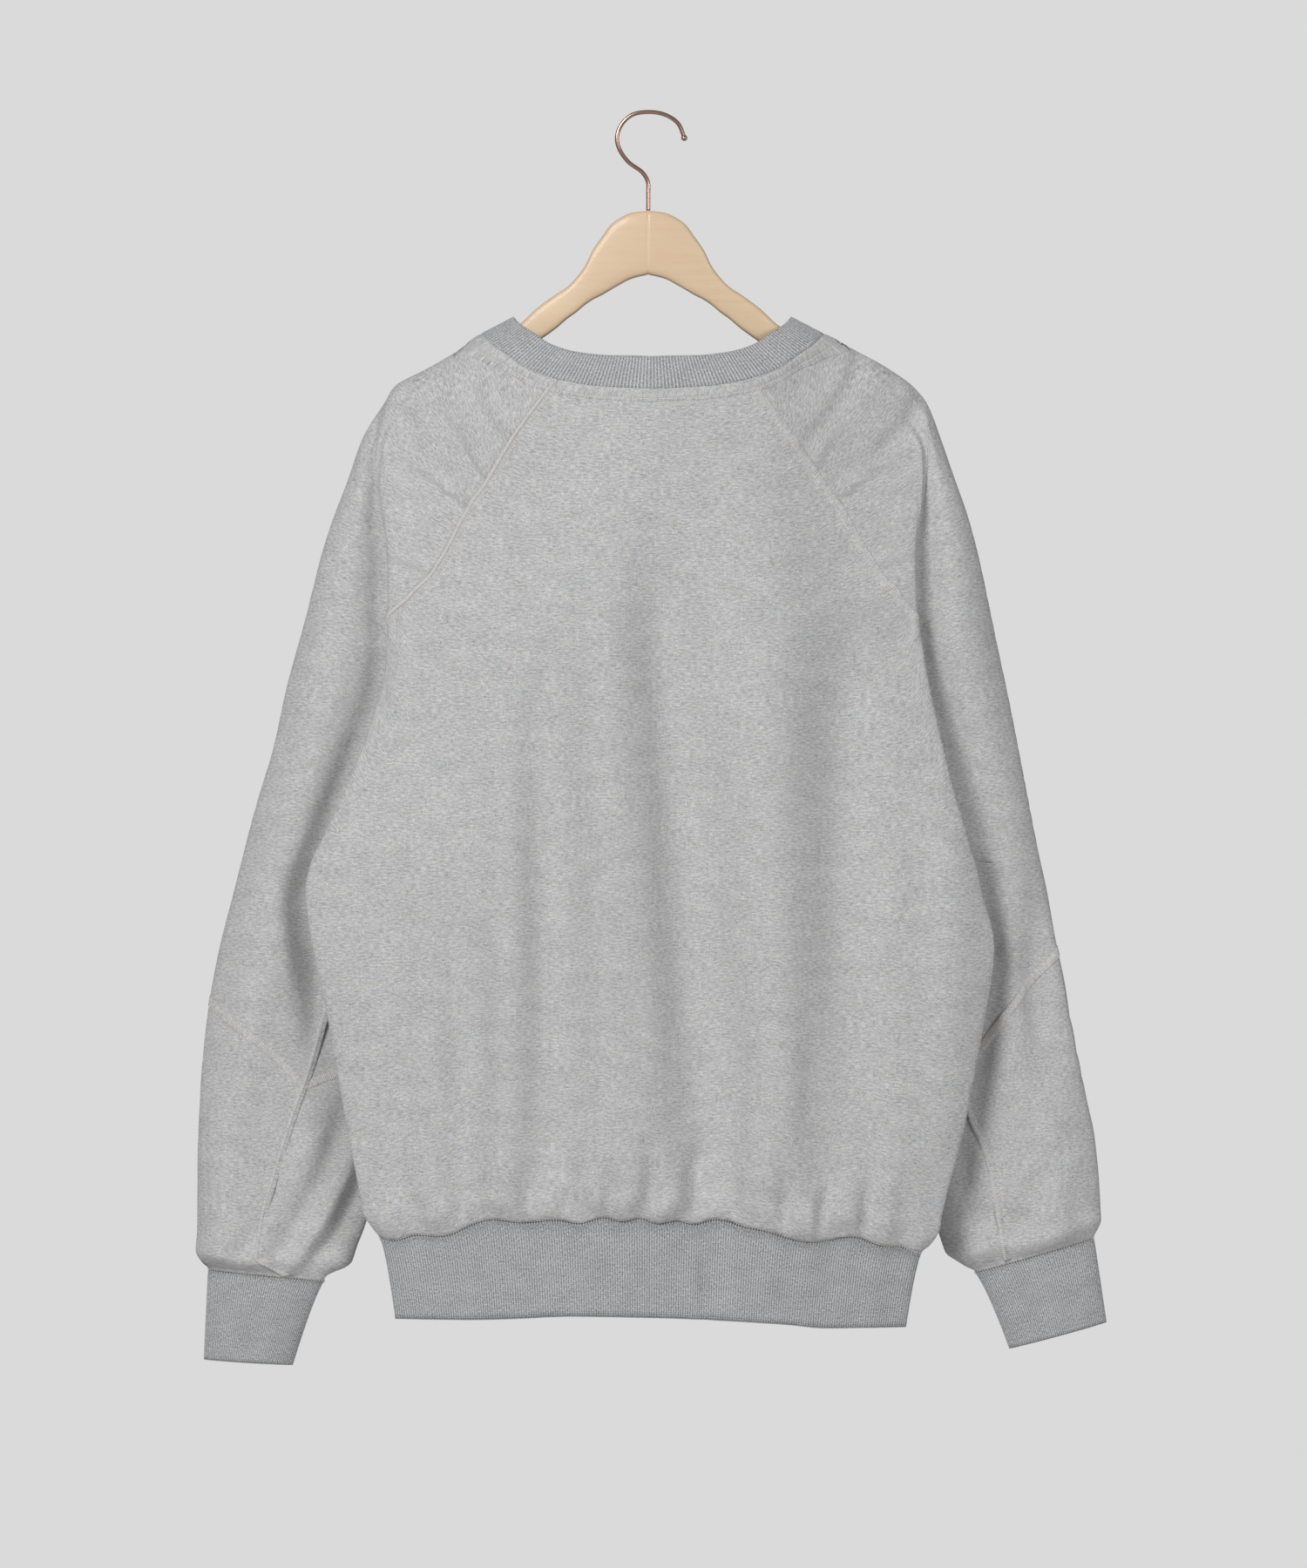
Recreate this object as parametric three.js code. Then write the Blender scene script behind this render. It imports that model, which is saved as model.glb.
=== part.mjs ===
import * as THREE from 'three';

// A raglan crewneck sweatshirt of heather grey fleece on a wooden hanger with a metal hook.
// Millimetres, +Z up. The back of the garment faces -Y and hangs towards the viewer.
// The origin is the inside top of the hook, where a rail or a peg carries it, so a place on
// the garment is mostly given as "down", its distance below that point.

// Cloth
const fleeceWall = 2;
const ribWall = 2.2;
const ribRise = 0.7;
const ribPitch = 5;
const seamGap = 0.3;

// Whole garment
const neckHalfWidth = 124;
const neckOffCentre = 3;
const neckRibHeight = 23;
const armpitDown = 540;
const cuffThickness = 25;

// Hanger and hook
const woodThickness = 12;
const woodEdge = 7;
const hookWire = 3;
const hookBall = 4.4;
const hookSeat = 70;

const rad = Math.PI / 180;
const mix = (a, b, share) => a + (b - a) * share;
const clamp = (value) => Math.min(1, Math.max(0, value));

function ease(value, from, to) {
  const share = clamp((value - from) / (to - from));
  return share * share * (3 - 2 * share);
}

// A table holds named columns, and its first column is the place that the others are read at.
function table(names, rows) {
  const columns = {};
  names.split(' ').forEach((name, index) => {
    columns[name] = rows.map((row) => row[index]);
  });
  columns.key = names.split(' ')[0];
  return columns;
}

// Reads a column at a place, on a smooth line that never overshoots its rows.
function read(from, name, place) {
  const keys = from[from.key];
  const values = from[name];
  const last = keys.length - 1;
  if (place <= keys[0]) return values[0];
  if (place >= keys[last]) return values[last];
  let row = 0;
  while (place > keys[row + 1]) row += 1;
  const slope = (index) => {
    if (index < 0 || index >= last) return null;
    return (values[index + 1] - values[index]) / (keys[index + 1] - keys[index]);
  };
  const tangent = (index) => {
    const before = slope(index - 1);
    const after = slope(index);
    if (before === null) return after;
    if (after === null) return before;
    if (before * after <= 0) return 0;
    return (2 * before * after) / (before + after);
  };
  const step = keys[row + 1] - keys[row];
  const share = (place - keys[row]) / step;
  const cube = share * share * share;
  const square = share * share;
  return values[row] * (2 * cube - 3 * square + 1)
    + tangent(row) * step * (cube - 2 * square + share)
    + values[row + 1] * (3 * square - 2 * cube)
    + tangent(row + 1) * step * (cube - square);
}

// The outer edge of each shoulder and sleeve, its distance from the middle.
const outerEdge = table('down left right', [
  [158, 121, 127], [170, 139, 150], [182, 161, 173], [195, 184, 192], [207, 191, 202],
  [232, 207, 212], [258, 217, 221], [308, 233, 236], [358, 247, 247], [409, 262, 259],
  [459, 273, 269], [510, 287, 279], [560, 301, 289], [610, 313, 297], [661, 322, 305],
  [711, 326, 315], [762, 328, 325], [812, 328, 329], [836, 327, 328],
]);

// The folded side edge of the back panel, which overlaps the sleeve behind it.
const sideFold = table('down left right', [
  [188, 84, 84], [207, 112, 112], [234, 163, 165], [248, 180, 184], [264, 186, 192],
  [300, 189, 193], [350, 188, 194], [396, 190, 199], [444, 202, 208], [488, 219, 218],
  [525, 236, 230], [542, 244, 236], [561, 248, 241], [600, 243, 250], [650, 232, 243],
  [695, 223, 234], [757, 212, 219], [799, 204, 208], [821, 201, 203],
]);

// The back raglan seam down to the side fold, and then a line just inside that fold.
const backSeam = table('down left right', [
  [193, 67, 70], [222, 87, 94], [248, 104, 112], [267, 115, 125], [287, 129, 139],
  [314, 143, 155], [332, 154, 167], [350, 167, 178], [380, 175, 181], [444, 188, 194],
  [488, 205, 204], [540, 229, 222], [600, 229, 236], [695, 209, 220], [799, 190, 194],
  [821, 187, 189],
]);

// The inner folded edge of each sleeve, behind the body, and the underarm seam on its near side.
const sleeveInside = table('down fold left right', [
  [540, 122, 200, 200], [600, 140, 220, 211], [646, 154, 234, 219], [685, 168, 245, 226],
  [720, 181, 258, 232], [757, 193, 270, 246], [796, 206, 281, 254], [836, 224, 286, 260],
]);

// The lines that run down the yoke, numbered from the middle of the back round to the front:
// where each starts on the neck ring, and how much it keeps to the top of the shoulder.
const yokeLines = table('line angle lift', [
  [0, 0, 0], [1, 18, 0], [2, 33, 0.1], [3, 42, 0.45], [4, 50, 0.55], [5, 57, 0.65],
  [6, 64, 0.75], [7, 76, 0.9], [8, 90, 1], [9, 104, 0.9], [10, 116, 0.7], [11, 124, 0.5],
  [12, 131, 0.35], [13, 139, 0.15], [14, 160, 0], [15, 180, 0],
]);
const yokeLift = 0.6;

// Depths of the sections between neck and armpit, towards the front of the garment.
const yokeDepth = table(
  'at back mid seam fold turn tip in near edge far inner return pit side fmid front',
  [
    [0, -42, -39, -33, -28, -23, -18, -12, -2, 11, 18, 24, 27, 30, 33, 38, 40],
    [0.12, -45, -38, -27, -13, -9, -6, -3, 5, 16, 27, 31, 34, 37, 39, 42, 42],
    [0.25, -47, -40, -15, 9, 12, 14, 15, 18, 29, 42, 46, 48, 48, 47, 45, 43],
    [0.4, -49, -42, -12, 2, 5, 7, 8, 12, 32, 51, 53, 51, 47, 44, 44, 42],
    [0.55, -50, -43, -11, -3, 1, 4, 6, 9, 32, 54, 53, 46, 40, 37, 40, 41],
    [0.7, -50, -43, -15, -7, -1, 3, 6, 8, 32, 55, 49, 38, 31, 27, 36, 39],
    [0.85, -50, -43, -18, -10, -4, 2.5, 6.5, 8, 31, 56, 44, 29, 23, 18, 30, 37],
    [1, -50, -43, -20, -12, -5, 3, 7, 8, 31, 57, 38, 21, 16, 12, 24, 35],
  ],
);

// How far the tucks at the armhole reach: past the side fold on the back, and on the front.
const yokeTuck = table('at tuck inner pit side', [
  [0, -21, 111, 94, 81], [0.12, -12, 126, 108, 92], [0.25, -8, 172, 150, 125],
  [0.4, -6, 185, 165, 145], [0.55, 4, 180, 172, 152], [0.7, 18, 163, 185, 160],
  [0.85, 32, 142, 194, 168], [1, 40, 122, 202, 176],
]);

// The line on which the back and the front raglan seam lie, at each level of the yoke.
const seamLine = table('at back front', [
  [0, 2, 13], [0.43, 2, 13], [0.48, 2.12, 13], [0.5, 2.23, 12.95], [0.54, 2.5, 12.9],
  [0.58, 2.86, 12.8], [0.7, 3.8, 12.5], [0.85, 4.5, 12.2], [1, 5, 12],
]);

// Depths of the body's sections below the armpit.
const bodyDepth = table('at back mid seam fold turn under side fmid front tuck', [
  [1, -50, -43, -20, -12, -5, 3, 12, 24, 35, 40],
  [1.08, -50, -43, -20, -12, -5, 4, 10, 21, 33, 40],
  [1.5, -47, -41, -19, -11, -4, 4, 10, 20, 30, 38],
  [1.85, -43, -38, -18, -11, -4, 4, 9, 18, 27, 34],
  [2, -38, -34, -16, -9, -3, 4, 8, 15, 23, 30],
]);

// Depths of a sleeve's sections below the armpit.
const sleeveDepth = table('at under in near edge far inner return', [
  [1, 3, 7, 8, 31, 57, 38, 21],
  [1.06, 13, 11, 9, 31, 57, 37, 20],
  [1.4, 15, 12, 10, 31, 55, 35, 20],
  [1.7, 14, 12, 12, 31, 52, 33, 19],
  [2, 14, 13, 14, 31, 49, 31, 18],
]);

// Level of the wavy hem seam and of the garment's bottom edge, across the body.
const hemLevel = table('x seam edge', [
  [-202, 815, 871], [-147, 807, 871], [-112, 800, 870], [-59, 799, 868], [8, 799, 869],
  [59, 801, 871], [110, 812, 874], [145, 813, 877], [200, 821, 877],
]);
const hemTopShare = 0.955;
const hemEdgeShare = 0.9;

// Soft folds: where each starts, its slant, its stretch down the garment, and its hollow.
const backFolds = table('x slant top bottom width hollow', [
  [-141, 0, 540, 800, 22, 6], [-110, 0.02, 430, 790, 20, -4], [-78, 0, 370, 800, 20, 8],
  [-34, 0.03, 300, 790, 22, -6], [0, 0.09, 290, 800, 24, 12], [79, 0.02, 360, 800, 30, -6],
  [136, 0, 350, 760, 22, 6],
]);
const frontFolds = table('x slant top bottom width hollow', [
  [-104, -0.03, 400, 800, 24, 6], [-46, 0.02, 340, 800, 26, -5], [6, -0.04, 320, 800, 24, 9],
  [62, 0.03, 380, 800, 24, -5], [108, 0, 430, 800, 22, 5],
]);
const foldAtHem = 0.4;
const hemGap = 0.45;
const gatherPitch = 26;
const gatherDepth = 1.6;
const gatherReach = 45;

// The neckline where the rib meets the fleece, by angle from the middle of the back.
const neckLevel = table('angle down', [
  [0, 200], [18, 198], [33, 193], [46, 185], [62, 171], [90, 158], [115, 178], [140, 222],
  [160, 252], [180, 262],
]);
const neckBackDepth = 53;
const neckFrontDepth = 29;
const neckRidgeDepth = 11;

// Cuffs: where they start and end, from the inner to the outer side, and their lean.
const cuffs = {
  left: { topIn: 236, topOut: 320, topInDown: 846, topOutDown: 838,
    edgeIn: 259, edgeOut: 323, edgeInDown: 907, edgeOutDown: 903 },
  right: { topIn: 238, topOut: 324, topInDown: 840, topOutDown: 815,
    edgeIn: 263, edgeOut: 333, edgeInDown: 895, edgeOutDown: 876 },
};
const sleeveDepthMiddle = 31;

// The elbow seams slant from the outer edge down to the underarm seam.
const elbow = { left: { outer: 1.28, under: 1.54 }, right: { outer: 1.15, under: 1.53 } };

const fleece = new THREE.MeshStandardMaterial({ color: 0x8d9095, roughness: 0.95, metalness: 0 });
const ribKnit = new THREE.MeshStandardMaterial({ color: 0x84878d, roughness: 0.95, metalness: 0 });
const beech = new THREE.MeshStandardMaterial({ color: 0xd9b992, roughness: 0.5, metalness: 0 });
const copper = new THREE.MeshStandardMaterial({ color: 0xa8785f, roughness: 0.3, metalness: 1 });

const sideName = (side) => (side < 0 ? 'left' : 'right');

function neckRing(angle) {
  const turn = Math.cos(angle * rad);
  const reach = turn > 0 ? neckBackDepth : neckFrontDepth;
  return {
    out: neckHalfWidth * Math.sin(angle * rad),
    y: neckRidgeDepth - reach * turn,
    down: read(neckLevel, 'down', angle),
  };
}

// The neck rib stands on the neck ring and leans in over it.
function neckRibPoint(side, angle, rise) {
  const ring = neckRing(angle);
  const sine = Math.sin(angle * rad);
  const lean = 1 - (0.48 * sine * sine);
  const x = neckOffCentre + side * (ring.out - rise * sine);
  const y = ring.y - ((ring.y - neckRidgeDepth) * 0.16 * rise) / neckRibHeight;
  return new THREE.Vector3(x, y, -(ring.down - rise * lean));
}

// Outward direction where the rib meets the fleece, at a line of the yoke.
function neckNormal(line) {
  const turn = ((line % 30) + 30) % 30;
  const side = turn <= 15 ? 1 : -1;
  const angle = read(yokeLines, 'angle', side > 0 ? turn : 30 - turn);
  const round = neckRibPoint(side, angle + 1, 0).sub(neckRibPoint(side, angle - 1, 0));
  const along = neckRibPoint(side, angle, 0).sub(neckRibPoint(side, angle, 1));
  return along.cross(round).normalize().multiplyScalar(side);
}

// Share of the way from neck to armpit that a line has come at a level of the yoke.
const yokeShare = (line, at) => at ** (1 + yokeLift * read(yokeLines, 'lift', line));

function yokeDown(line, at) {
  const start = neckRing(read(yokeLines, 'angle', line)).down;
  return mix(start, armpitDown, yokeShare(line, at));
}

// Control points of one half of a yoke section, from the middle of the back to the front.
function yokeHalf(side, at) {
  const name = sideName(side);
  const depth = (column) => read(yokeDepth, column, at);
  const reach = (column) => read(yokeTuck, column, at);
  const folded = ease(at, 0.3, 0.8);
  const seam = read(backSeam, name, yokeDown(2, at));
  const fold = read(sideFold, name, yokeDown(3, at));
  const edge = read(outerEdge, name, yokeDown(8, at));
  const tip = fold - reach('tuck');
  const into = tip + mix(3, 14, folded);
  return [
    [0, depth('back')],
    [0.54 * seam, depth('mid')],
    [seam, depth('seam')],
    [fold, depth('fold')],
    [fold + mix(5, -14, folded), depth('turn')],
    [tip, depth('tip')],
    [into, depth('in')],
    [mix(into, edge, 0.55), depth('near')],
    [edge, depth('edge')],
    [mix(reach('inner'), edge, 0.6), depth('far')],
    [reach('inner'), depth('inner')],
    [mix(reach('inner'), reach('pit'), 0.45), depth('return')],
    [reach('pit'), depth('pit')],
    [reach('side'), depth('side')],
    [0.55 * reach('side'), depth('fmid')],
    [0, depth('front')],
  ];
}

function bodyHalf(side, at) {
  const name = sideName(side);
  const depth = (column) => read(bodyDepth, column, at);
  const down = mix(armpitDown, 805, at - 1);
  const seam = read(backSeam, name, down);
  const fold = read(sideFold, name, down);
  const under = fold - depth('tuck');
  return [
    [0, depth('back')],
    [0.54 * seam, depth('mid')],
    [seam, depth('seam')],
    [fold, depth('fold')],
    [fold - 14, depth('turn')],
    [under, depth('under')],
    [under - 26, depth('side')],
    [0.52 * (under - 26), depth('fmid')],
    [0, depth('front')],
  ];
}

const curves = new Map();

function closedCurve(key, halfAt) {
  if (!curves.has(key)) {
    const right = halfAt(1);
    const left = halfAt(-1);
    const points = right.map(([out, y]) => new THREE.Vector3(out, y, 0));
    for (let line = left.length - 2; line > 0; line -= 1) {
      points.push(new THREE.Vector3(-left[line][0], left[line][1], 0));
    }
    curves.set(key, new THREE.CatmullRomCurve3(points, true, 'centripetal'));
  }
  return curves.get(key);
}

function onCurve(curve, line) {
  const count = curve.points.length;
  return curve.getPoint((((line % count) + count) % count) / count);
}

// A point of the yoke. Lines 0 to 15 run round the right half, and 30 down to 15 the left.
function yokePoint(line, at) {
  const level = Math.max(0, at);
  const turn = ((line % 30) + 30) % 30;
  const side = turn <= 15 ? 1 : -1;
  const half = side > 0 ? turn : 30 - turn;
  const spot = onCurve(closedCurve(`yoke ${level}`, (hand) => yokeHalf(hand, level)), turn);
  const start = onCurve(closedCurve('yoke 0', (hand) => yokeHalf(hand, 0)), turn);
  const ring = neckRing(read(yokeLines, 'angle', half));
  const stay = 1 - ease(level, 0, 0.14);
  const x = spot.x + (neckOffCentre + side * ring.out - start.x) * stay;
  const y = spot.y + (ring.y - start.y) * stay;
  return new THREE.Vector3(x, y, -mix(ring.down, armpitDown, yokeShare(half, level)));
}

function foldShift(folds, x, down) {
  let shift = 0;
  folds.x.forEach((start, row) => {
    const middle = start + folds.slant[row] * (down - folds.top[row]);
    const across = (x - middle) / folds.width[row];
    const stretch = ease(down, folds.top[row], folds.top[row] + 90)
      * (1 - ease(down, folds.bottom[row], folds.bottom[row] + 60));
    shift += folds.hollow[row] * stretch * Math.exp(-across * across);
  });
  return shift * mix(1, foldAtHem, ease(down, 750, 800));
}

function gather(x, down) {
  const reach = ease(down, 800 - gatherReach, 795);
  return gatherDepth * reach * Math.cos((2 * Math.PI * x) / gatherPitch);
}

// Body cloth below the armpit. Lines 0 to 8 run round the right half, 16 down to 8 the left.
function bodyPoint(line, at) {
  const spot = onCurve(closedCurve(`body ${at}`, (hand) => bodyHalf(hand, at)), line);
  const drawn = mix(1, hemTopShare, ease(at, 1.93, 2));
  const down = mix(armpitDown, read(hemLevel, 'seam', spot.x), at - 1);
  return new THREE.Vector3(spot.x * drawn, spot.y * drawn, -down);
}

// How far the soft folds press the back and the front in, on the body's lines.
function backPress(line, point) {
  const middle = 1 - ease(Math.abs(line), 2.2, 3);
  return middle * (foldShift(backFolds, point.x, -point.z) + gather(point.x, -point.z));
}

function frontPress(line, point) {
  const middle = 1 - ease(Math.abs(line), 1.3, 2.2);
  return middle * (gather(point.x, -point.z) - foldShift(frontFolds, point.x, -point.z));
}

// The hem rib's outer surface, on the body's lines. The folds run out in it.
function hemPoint(line, share) {
  const top = bodyPoint(line, 2);
  const turn = ((line % 16) + 16) % 16;
  const press = backPress(turn > 8 ? turn - 16 : turn, top) + frontPress(turn - 8, top);
  const drawn = mix(1, hemEdgeShare / hemTopShare, clamp(share) ** 0.7);
  const edge = read(hemLevel, 'edge', top.x / hemTopShare);
  const y = top.y * drawn + press * mix(1, 0.3, ease(share, 0.3, 1));
  return new THREE.Vector3(top.x * drawn, y, -mix(-top.z, edge, share));
}

function hemNormal(line) {
  const round = hemPoint(line + 0.05, 0).sub(hemPoint(line - 0.05, 0));
  const along = hemPoint(line, 0.4).sub(hemPoint(line, 0));
  return along.cross(round).normalize();
}

function backPoint(line, at) {
  const point = at <= 1 ? yokePoint(line, at) : bodyPoint(line, at);
  point.y += backPress(line, point);
  return point;
}

// The front panel's lines count from its middle, to the right below 0 and to the left above.
function frontPoint(line, at) {
  const point = at <= 1 ? yokePoint(15 + line, at) : bodyPoint(8 + line, at);
  point.y += frontPress(line, point);
  return point;
}

// The lines of a sleeve, and where each stands round the cuff, from its outer edge.
const cuffTurn = table('line turn', [
  [5, 120], [6, 95], [7, 60], [8, 0], [9, -90], [10, -180], [11, -215], [12, -240],
]);

function cuffPoint(side, turn, share) {
  const cuff = cuffs[sideName(side)];
  const inner = mix(cuff.topIn, cuff.edgeIn, clamp(share) ** 0.8);
  const outer = mix(cuff.topOut, cuff.edgeOut, share);
  const across = 0.5 + 0.5 * Math.cos(turn * rad);
  const down = mix(
    mix(cuff.topInDown, cuff.topOutDown, across),
    mix(cuff.edgeInDown, cuff.edgeOutDown, across),
    share,
  );
  const y = sleeveDepthMiddle - 0.5 * cuffThickness * Math.sin(turn * rad);
  return new THREE.Vector3(side * mix(inner, outer, across), y, -down);
}

function cuffNormal(side, turn) {
  const round = cuffPoint(side, turn - 2, 0).sub(cuffPoint(side, turn + 2, 0));
  const along = cuffPoint(side, turn, 0.3).sub(cuffPoint(side, turn, 0));
  return along.cross(round).normalize().multiplyScalar(side);
}

function sleeveLoop(side, at) {
  const key = `sleeve ${side} ${at}`;
  if (!curves.has(key)) {
    const name = sideName(side);
    const depth = (column) => read(sleeveDepth, column, at);
    const down = mix(armpitDown, 836, at - 1);
    const edge = read(outerEdge, name, down);
    const fold = read(sleeveInside, 'fold', down);
    const under = read(sleeveInside, name, down);
    const points = [
      [under, depth('under')],
      [mix(under, edge, 0.3), depth('in')],
      [mix(under, edge, 0.66), depth('near')],
      [edge, depth('edge')],
      [mix(fold, edge, 0.5), depth('far')],
      [fold, depth('inner')],
      [mix(fold, under, 0.4), depth('return')],
    ];
    const vectors = points.map(([out, y]) => new THREE.Vector3(side * out, y, 0));
    curves.set(key, new THREE.CatmullRomCurve3(vectors, true, 'centripetal'));
  }
  return curves.get(key);
}

// A point of a sleeve, whose lines 5 to 12 run from the near side round the outer edge.
function sleevePoint(side, line, at) {
  if (at <= 1) return yokePoint(side > 0 ? line : 30 - line, at);
  const spot = onCurve(sleeveLoop(side, at), line - 5);
  const turn = read(cuffTurn, 'turn', line);
  const end = cuffPoint(side, turn, 0);
  const drawn = ease(at, 1.95, 2);
  const down = mix(armpitDown, -end.z, at - 1);
  return new THREE.Vector3(mix(spot.x, end.x, drawn), mix(spot.y, end.y, drawn), -down);
}

// Outward direction of a surface that is given by a line round it and a level down it.
function outward(pointAt, line, at, hand) {
  const round = pointAt(line + 0.02, at).sub(pointAt(line - 0.02, at));
  const along = pointAt(line, at + 0.004).sub(pointAt(line, at - 0.004));
  return along.cross(round).normalize().multiplyScalar(hand);
}

// Spreads places along a row by its length, with some more of them where it bends.
function spread(pointAt, from, to, count) {
  const samples = 80;
  const bendShare = 16;
  const sums = [0];
  let before = pointAt(from);
  for (let index = 1; index <= samples; index += 1) {
    const here = pointAt(mix(from, to, index / samples));
    const bend = (bendShare * Math.abs(to - from)) / samples;
    sums.push(sums[index - 1] + here.distanceTo(before) + bend);
    before = here;
  }
  const places = [];
  let index = 0;
  for (let step = 0; step <= count; step += 1) {
    const wanted = (sums[samples] * step) / count;
    while (index < samples - 1 && sums[index + 1] < wanted) index += 1;
    const share = (wanted - sums[index]) / (sums[index + 1] - sums[index]);
    places.push(mix(from, to, (index + clamp(share)) / samples));
  }
  return places;
}

function meshOf(name, positions, faces, material) {
  const geometry = new THREE.BufferGeometry();
  geometry.setAttribute('position', new THREE.Float32BufferAttribute(positions, 3));
  geometry.setIndex(faces);
  geometry.computeVertexNormals();
  const mesh = new THREE.Mesh(geometry, material);
  mesh.name = name;
  return mesh;
}

// Draws the outer rows in from the seams, so that neighbours stand a seam gap apart.
function parted(grid) {
  const half = seamGap / 2;
  const rows = grid.length;
  const columns = grid[0].length;
  const pull = (spot, towards) => {
    const way = towards.point.clone().sub(spot.point);
    if (way.length() > 0.01) spot.point.add(way.setLength(half));
  };
  for (let row = 0; row < rows; row += 1) {
    pull(grid[row][0], grid[row][1]);
    pull(grid[row][columns - 1], grid[row][columns - 2]);
  }
  for (let column = 0; column < columns; column += 1) {
    pull(grid[0][column], grid[1][column]);
    pull(grid[rows - 1][column], grid[rows - 2][column]);
  }
  return grid;
}

// A cut panel: a grid of outer points with the wall behind them, closed round its four edges.
function panel(name, grid, material, hand) {
  const rows = grid.length;
  const columns = grid[0].length;
  const positions = [];
  const faces = [];
  [0, fleeceWall].forEach((depth) => {
    grid.forEach((row) => row.forEach(({ point, normal }) => {
      positions.push(...point.clone().addScaledVector(normal, -depth).toArray());
    }));
  });
  const inner = rows * columns;
  const triangle = (a, b, c) => (hand > 0 ? faces.push(a, b, c) : faces.push(a, c, b));
  const quad = (a, b, c, d) => {
    triangle(a, b, c);
    triangle(a, c, d);
  };
  for (let row = 0; row < rows - 1; row += 1) {
    for (let column = 0; column < columns - 1; column += 1) {
      const a = row * columns + column;
      quad(a, a + columns, a + columns + 1, a + 1);
      quad(inner + a, inner + a + 1, inner + a + columns + 1, inner + a + columns);
    }
    const left = row * columns;
    const right = left + columns - 1;
    quad(left, inner + left, inner + left + columns, left + columns);
    quad(right, right + columns, inner + right + columns, inner + right);
  }
  for (let column = 0; column < columns - 1; column += 1) {
    const bottom = (rows - 1) * columns + column;
    quad(column, column + 1, inner + column + 1, inner + column);
    quad(bottom, inner + bottom, inner + bottom + 1, bottom + 1);
  }
  return meshOf(name, positions, faces, material);
}

// Grid of a panel between two side lines, on the levels given for each place across it.
// Where it meets a rib, its wall stands as the rib's does.
function gridOf(pointAt, levels, sides, columns, hand, rimNormal) {
  return levels.map((level) => {
    const middle = level(0.5);
    const [from, to] = sides(middle);
    const lines = spread((line) => pointAt(line, middle), from, to, columns);
    return lines.map((line, column) => {
      const at = level(column / columns);
      const normal = rimNormal(line, at) ?? outward(pointAt, line, at, hand);
      return { point: pointAt(line, at), normal };
    });
  });
}

const steady = (values) => values.map((value) => () => value);

function steps(from, to, count) {
  return Array.from({ length: count + 1 }, (_, index) => mix(from, to, index / count));
}

const yokeLevels = [0, 0.05, 0.1, 0.15, 0.2, 0.25, 0.31, 0.38, 0.46, 0.54, 0.62, 0.71, 0.8, 0.9, 1];
const bodyLevels = [1.06, 1.18, 1.33, 1.48, 1.62, 1.75, 1.85, 1.93, 1.97, 2];

function backRim(line, at) {
  if (at === 0) return neckNormal(line);
  return at === 2 ? hemNormal(line) : null;
}

function frontRim(line, at) {
  if (at === 0) return neckNormal(15 + line);
  return at === 2 ? hemNormal(8 + line) : null;
}

function backPanel() {
  const sides = (at) => [-read(seamLine, 'back', at), read(seamLine, 'back', at)];
  const levels = steady([...yokeLevels, ...bodyLevels]);
  const grid = gridOf(backPoint, levels, sides, 36, 1, backRim);
  return panel('back_panel', parted(grid), fleece, 1);
}

function frontPanel() {
  const sides = (at) => {
    const reach = 15 - read(seamLine, 'front', at);
    return [-reach, reach];
  };
  const levels = steady([...yokeLevels, ...bodyLevels]);
  const grid = gridOf(frontPoint, levels, sides, 24, 1, frontRim);
  return panel('front_panel', parted(grid), fleece, 1);
}

// The elbow seam's level on a sleeve, lowest at the underarm seam.
function elbowLevel(side, share) {
  const { outer, under } = elbow[sideName(side)];
  const edge = 0.43;
  const away = share < edge ? (edge - share) / edge : (share - edge) / (1 - edge);
  return mix(outer, under, away ** 1.15);
}

function upperSleeve(side) {
  const name = sideName(side);
  const pointAt = (line, at) => sleevePoint(side, line, at);
  const sides = (at) => [read(seamLine, 'back', at), read(seamLine, 'front', at)];
  const yoke = steady(yokeLevels);
  const arm = [0.12, 0.4, 0.7, 1].map((part) => (share) => {
    return mix(1, elbowLevel(side, share), part);
  });
  const rim = (line, at) => (at === 0 ? neckNormal(side > 0 ? line : 30 - line) : null);
  const grid = gridOf(pointAt, [...yoke, ...arm], sides, 22, side, rim);
  return panel(`${name}_upper_sleeve`, parted(grid), fleece, side);
}

function forearm(side) {
  const name = sideName(side);
  const pointAt = (line, at) => sleevePoint(side, line, at);
  const levels = [0, 0.2, 0.4, 0.6, 0.76, 0.88, 0.95, 1].map((part) => (share) => {
    return mix(elbowLevel(side, share), 2, part);
  });
  const rim = (line, at) => (at === 2 ? cuffNormal(side, read(cuffTurn, 'turn', line)) : null);
  const grid = gridOf(pointAt, levels, () => [5, 12], 22, side, rim);
  return panel(`${name}_forearm`, parted(grid), fleece, side);
}

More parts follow.
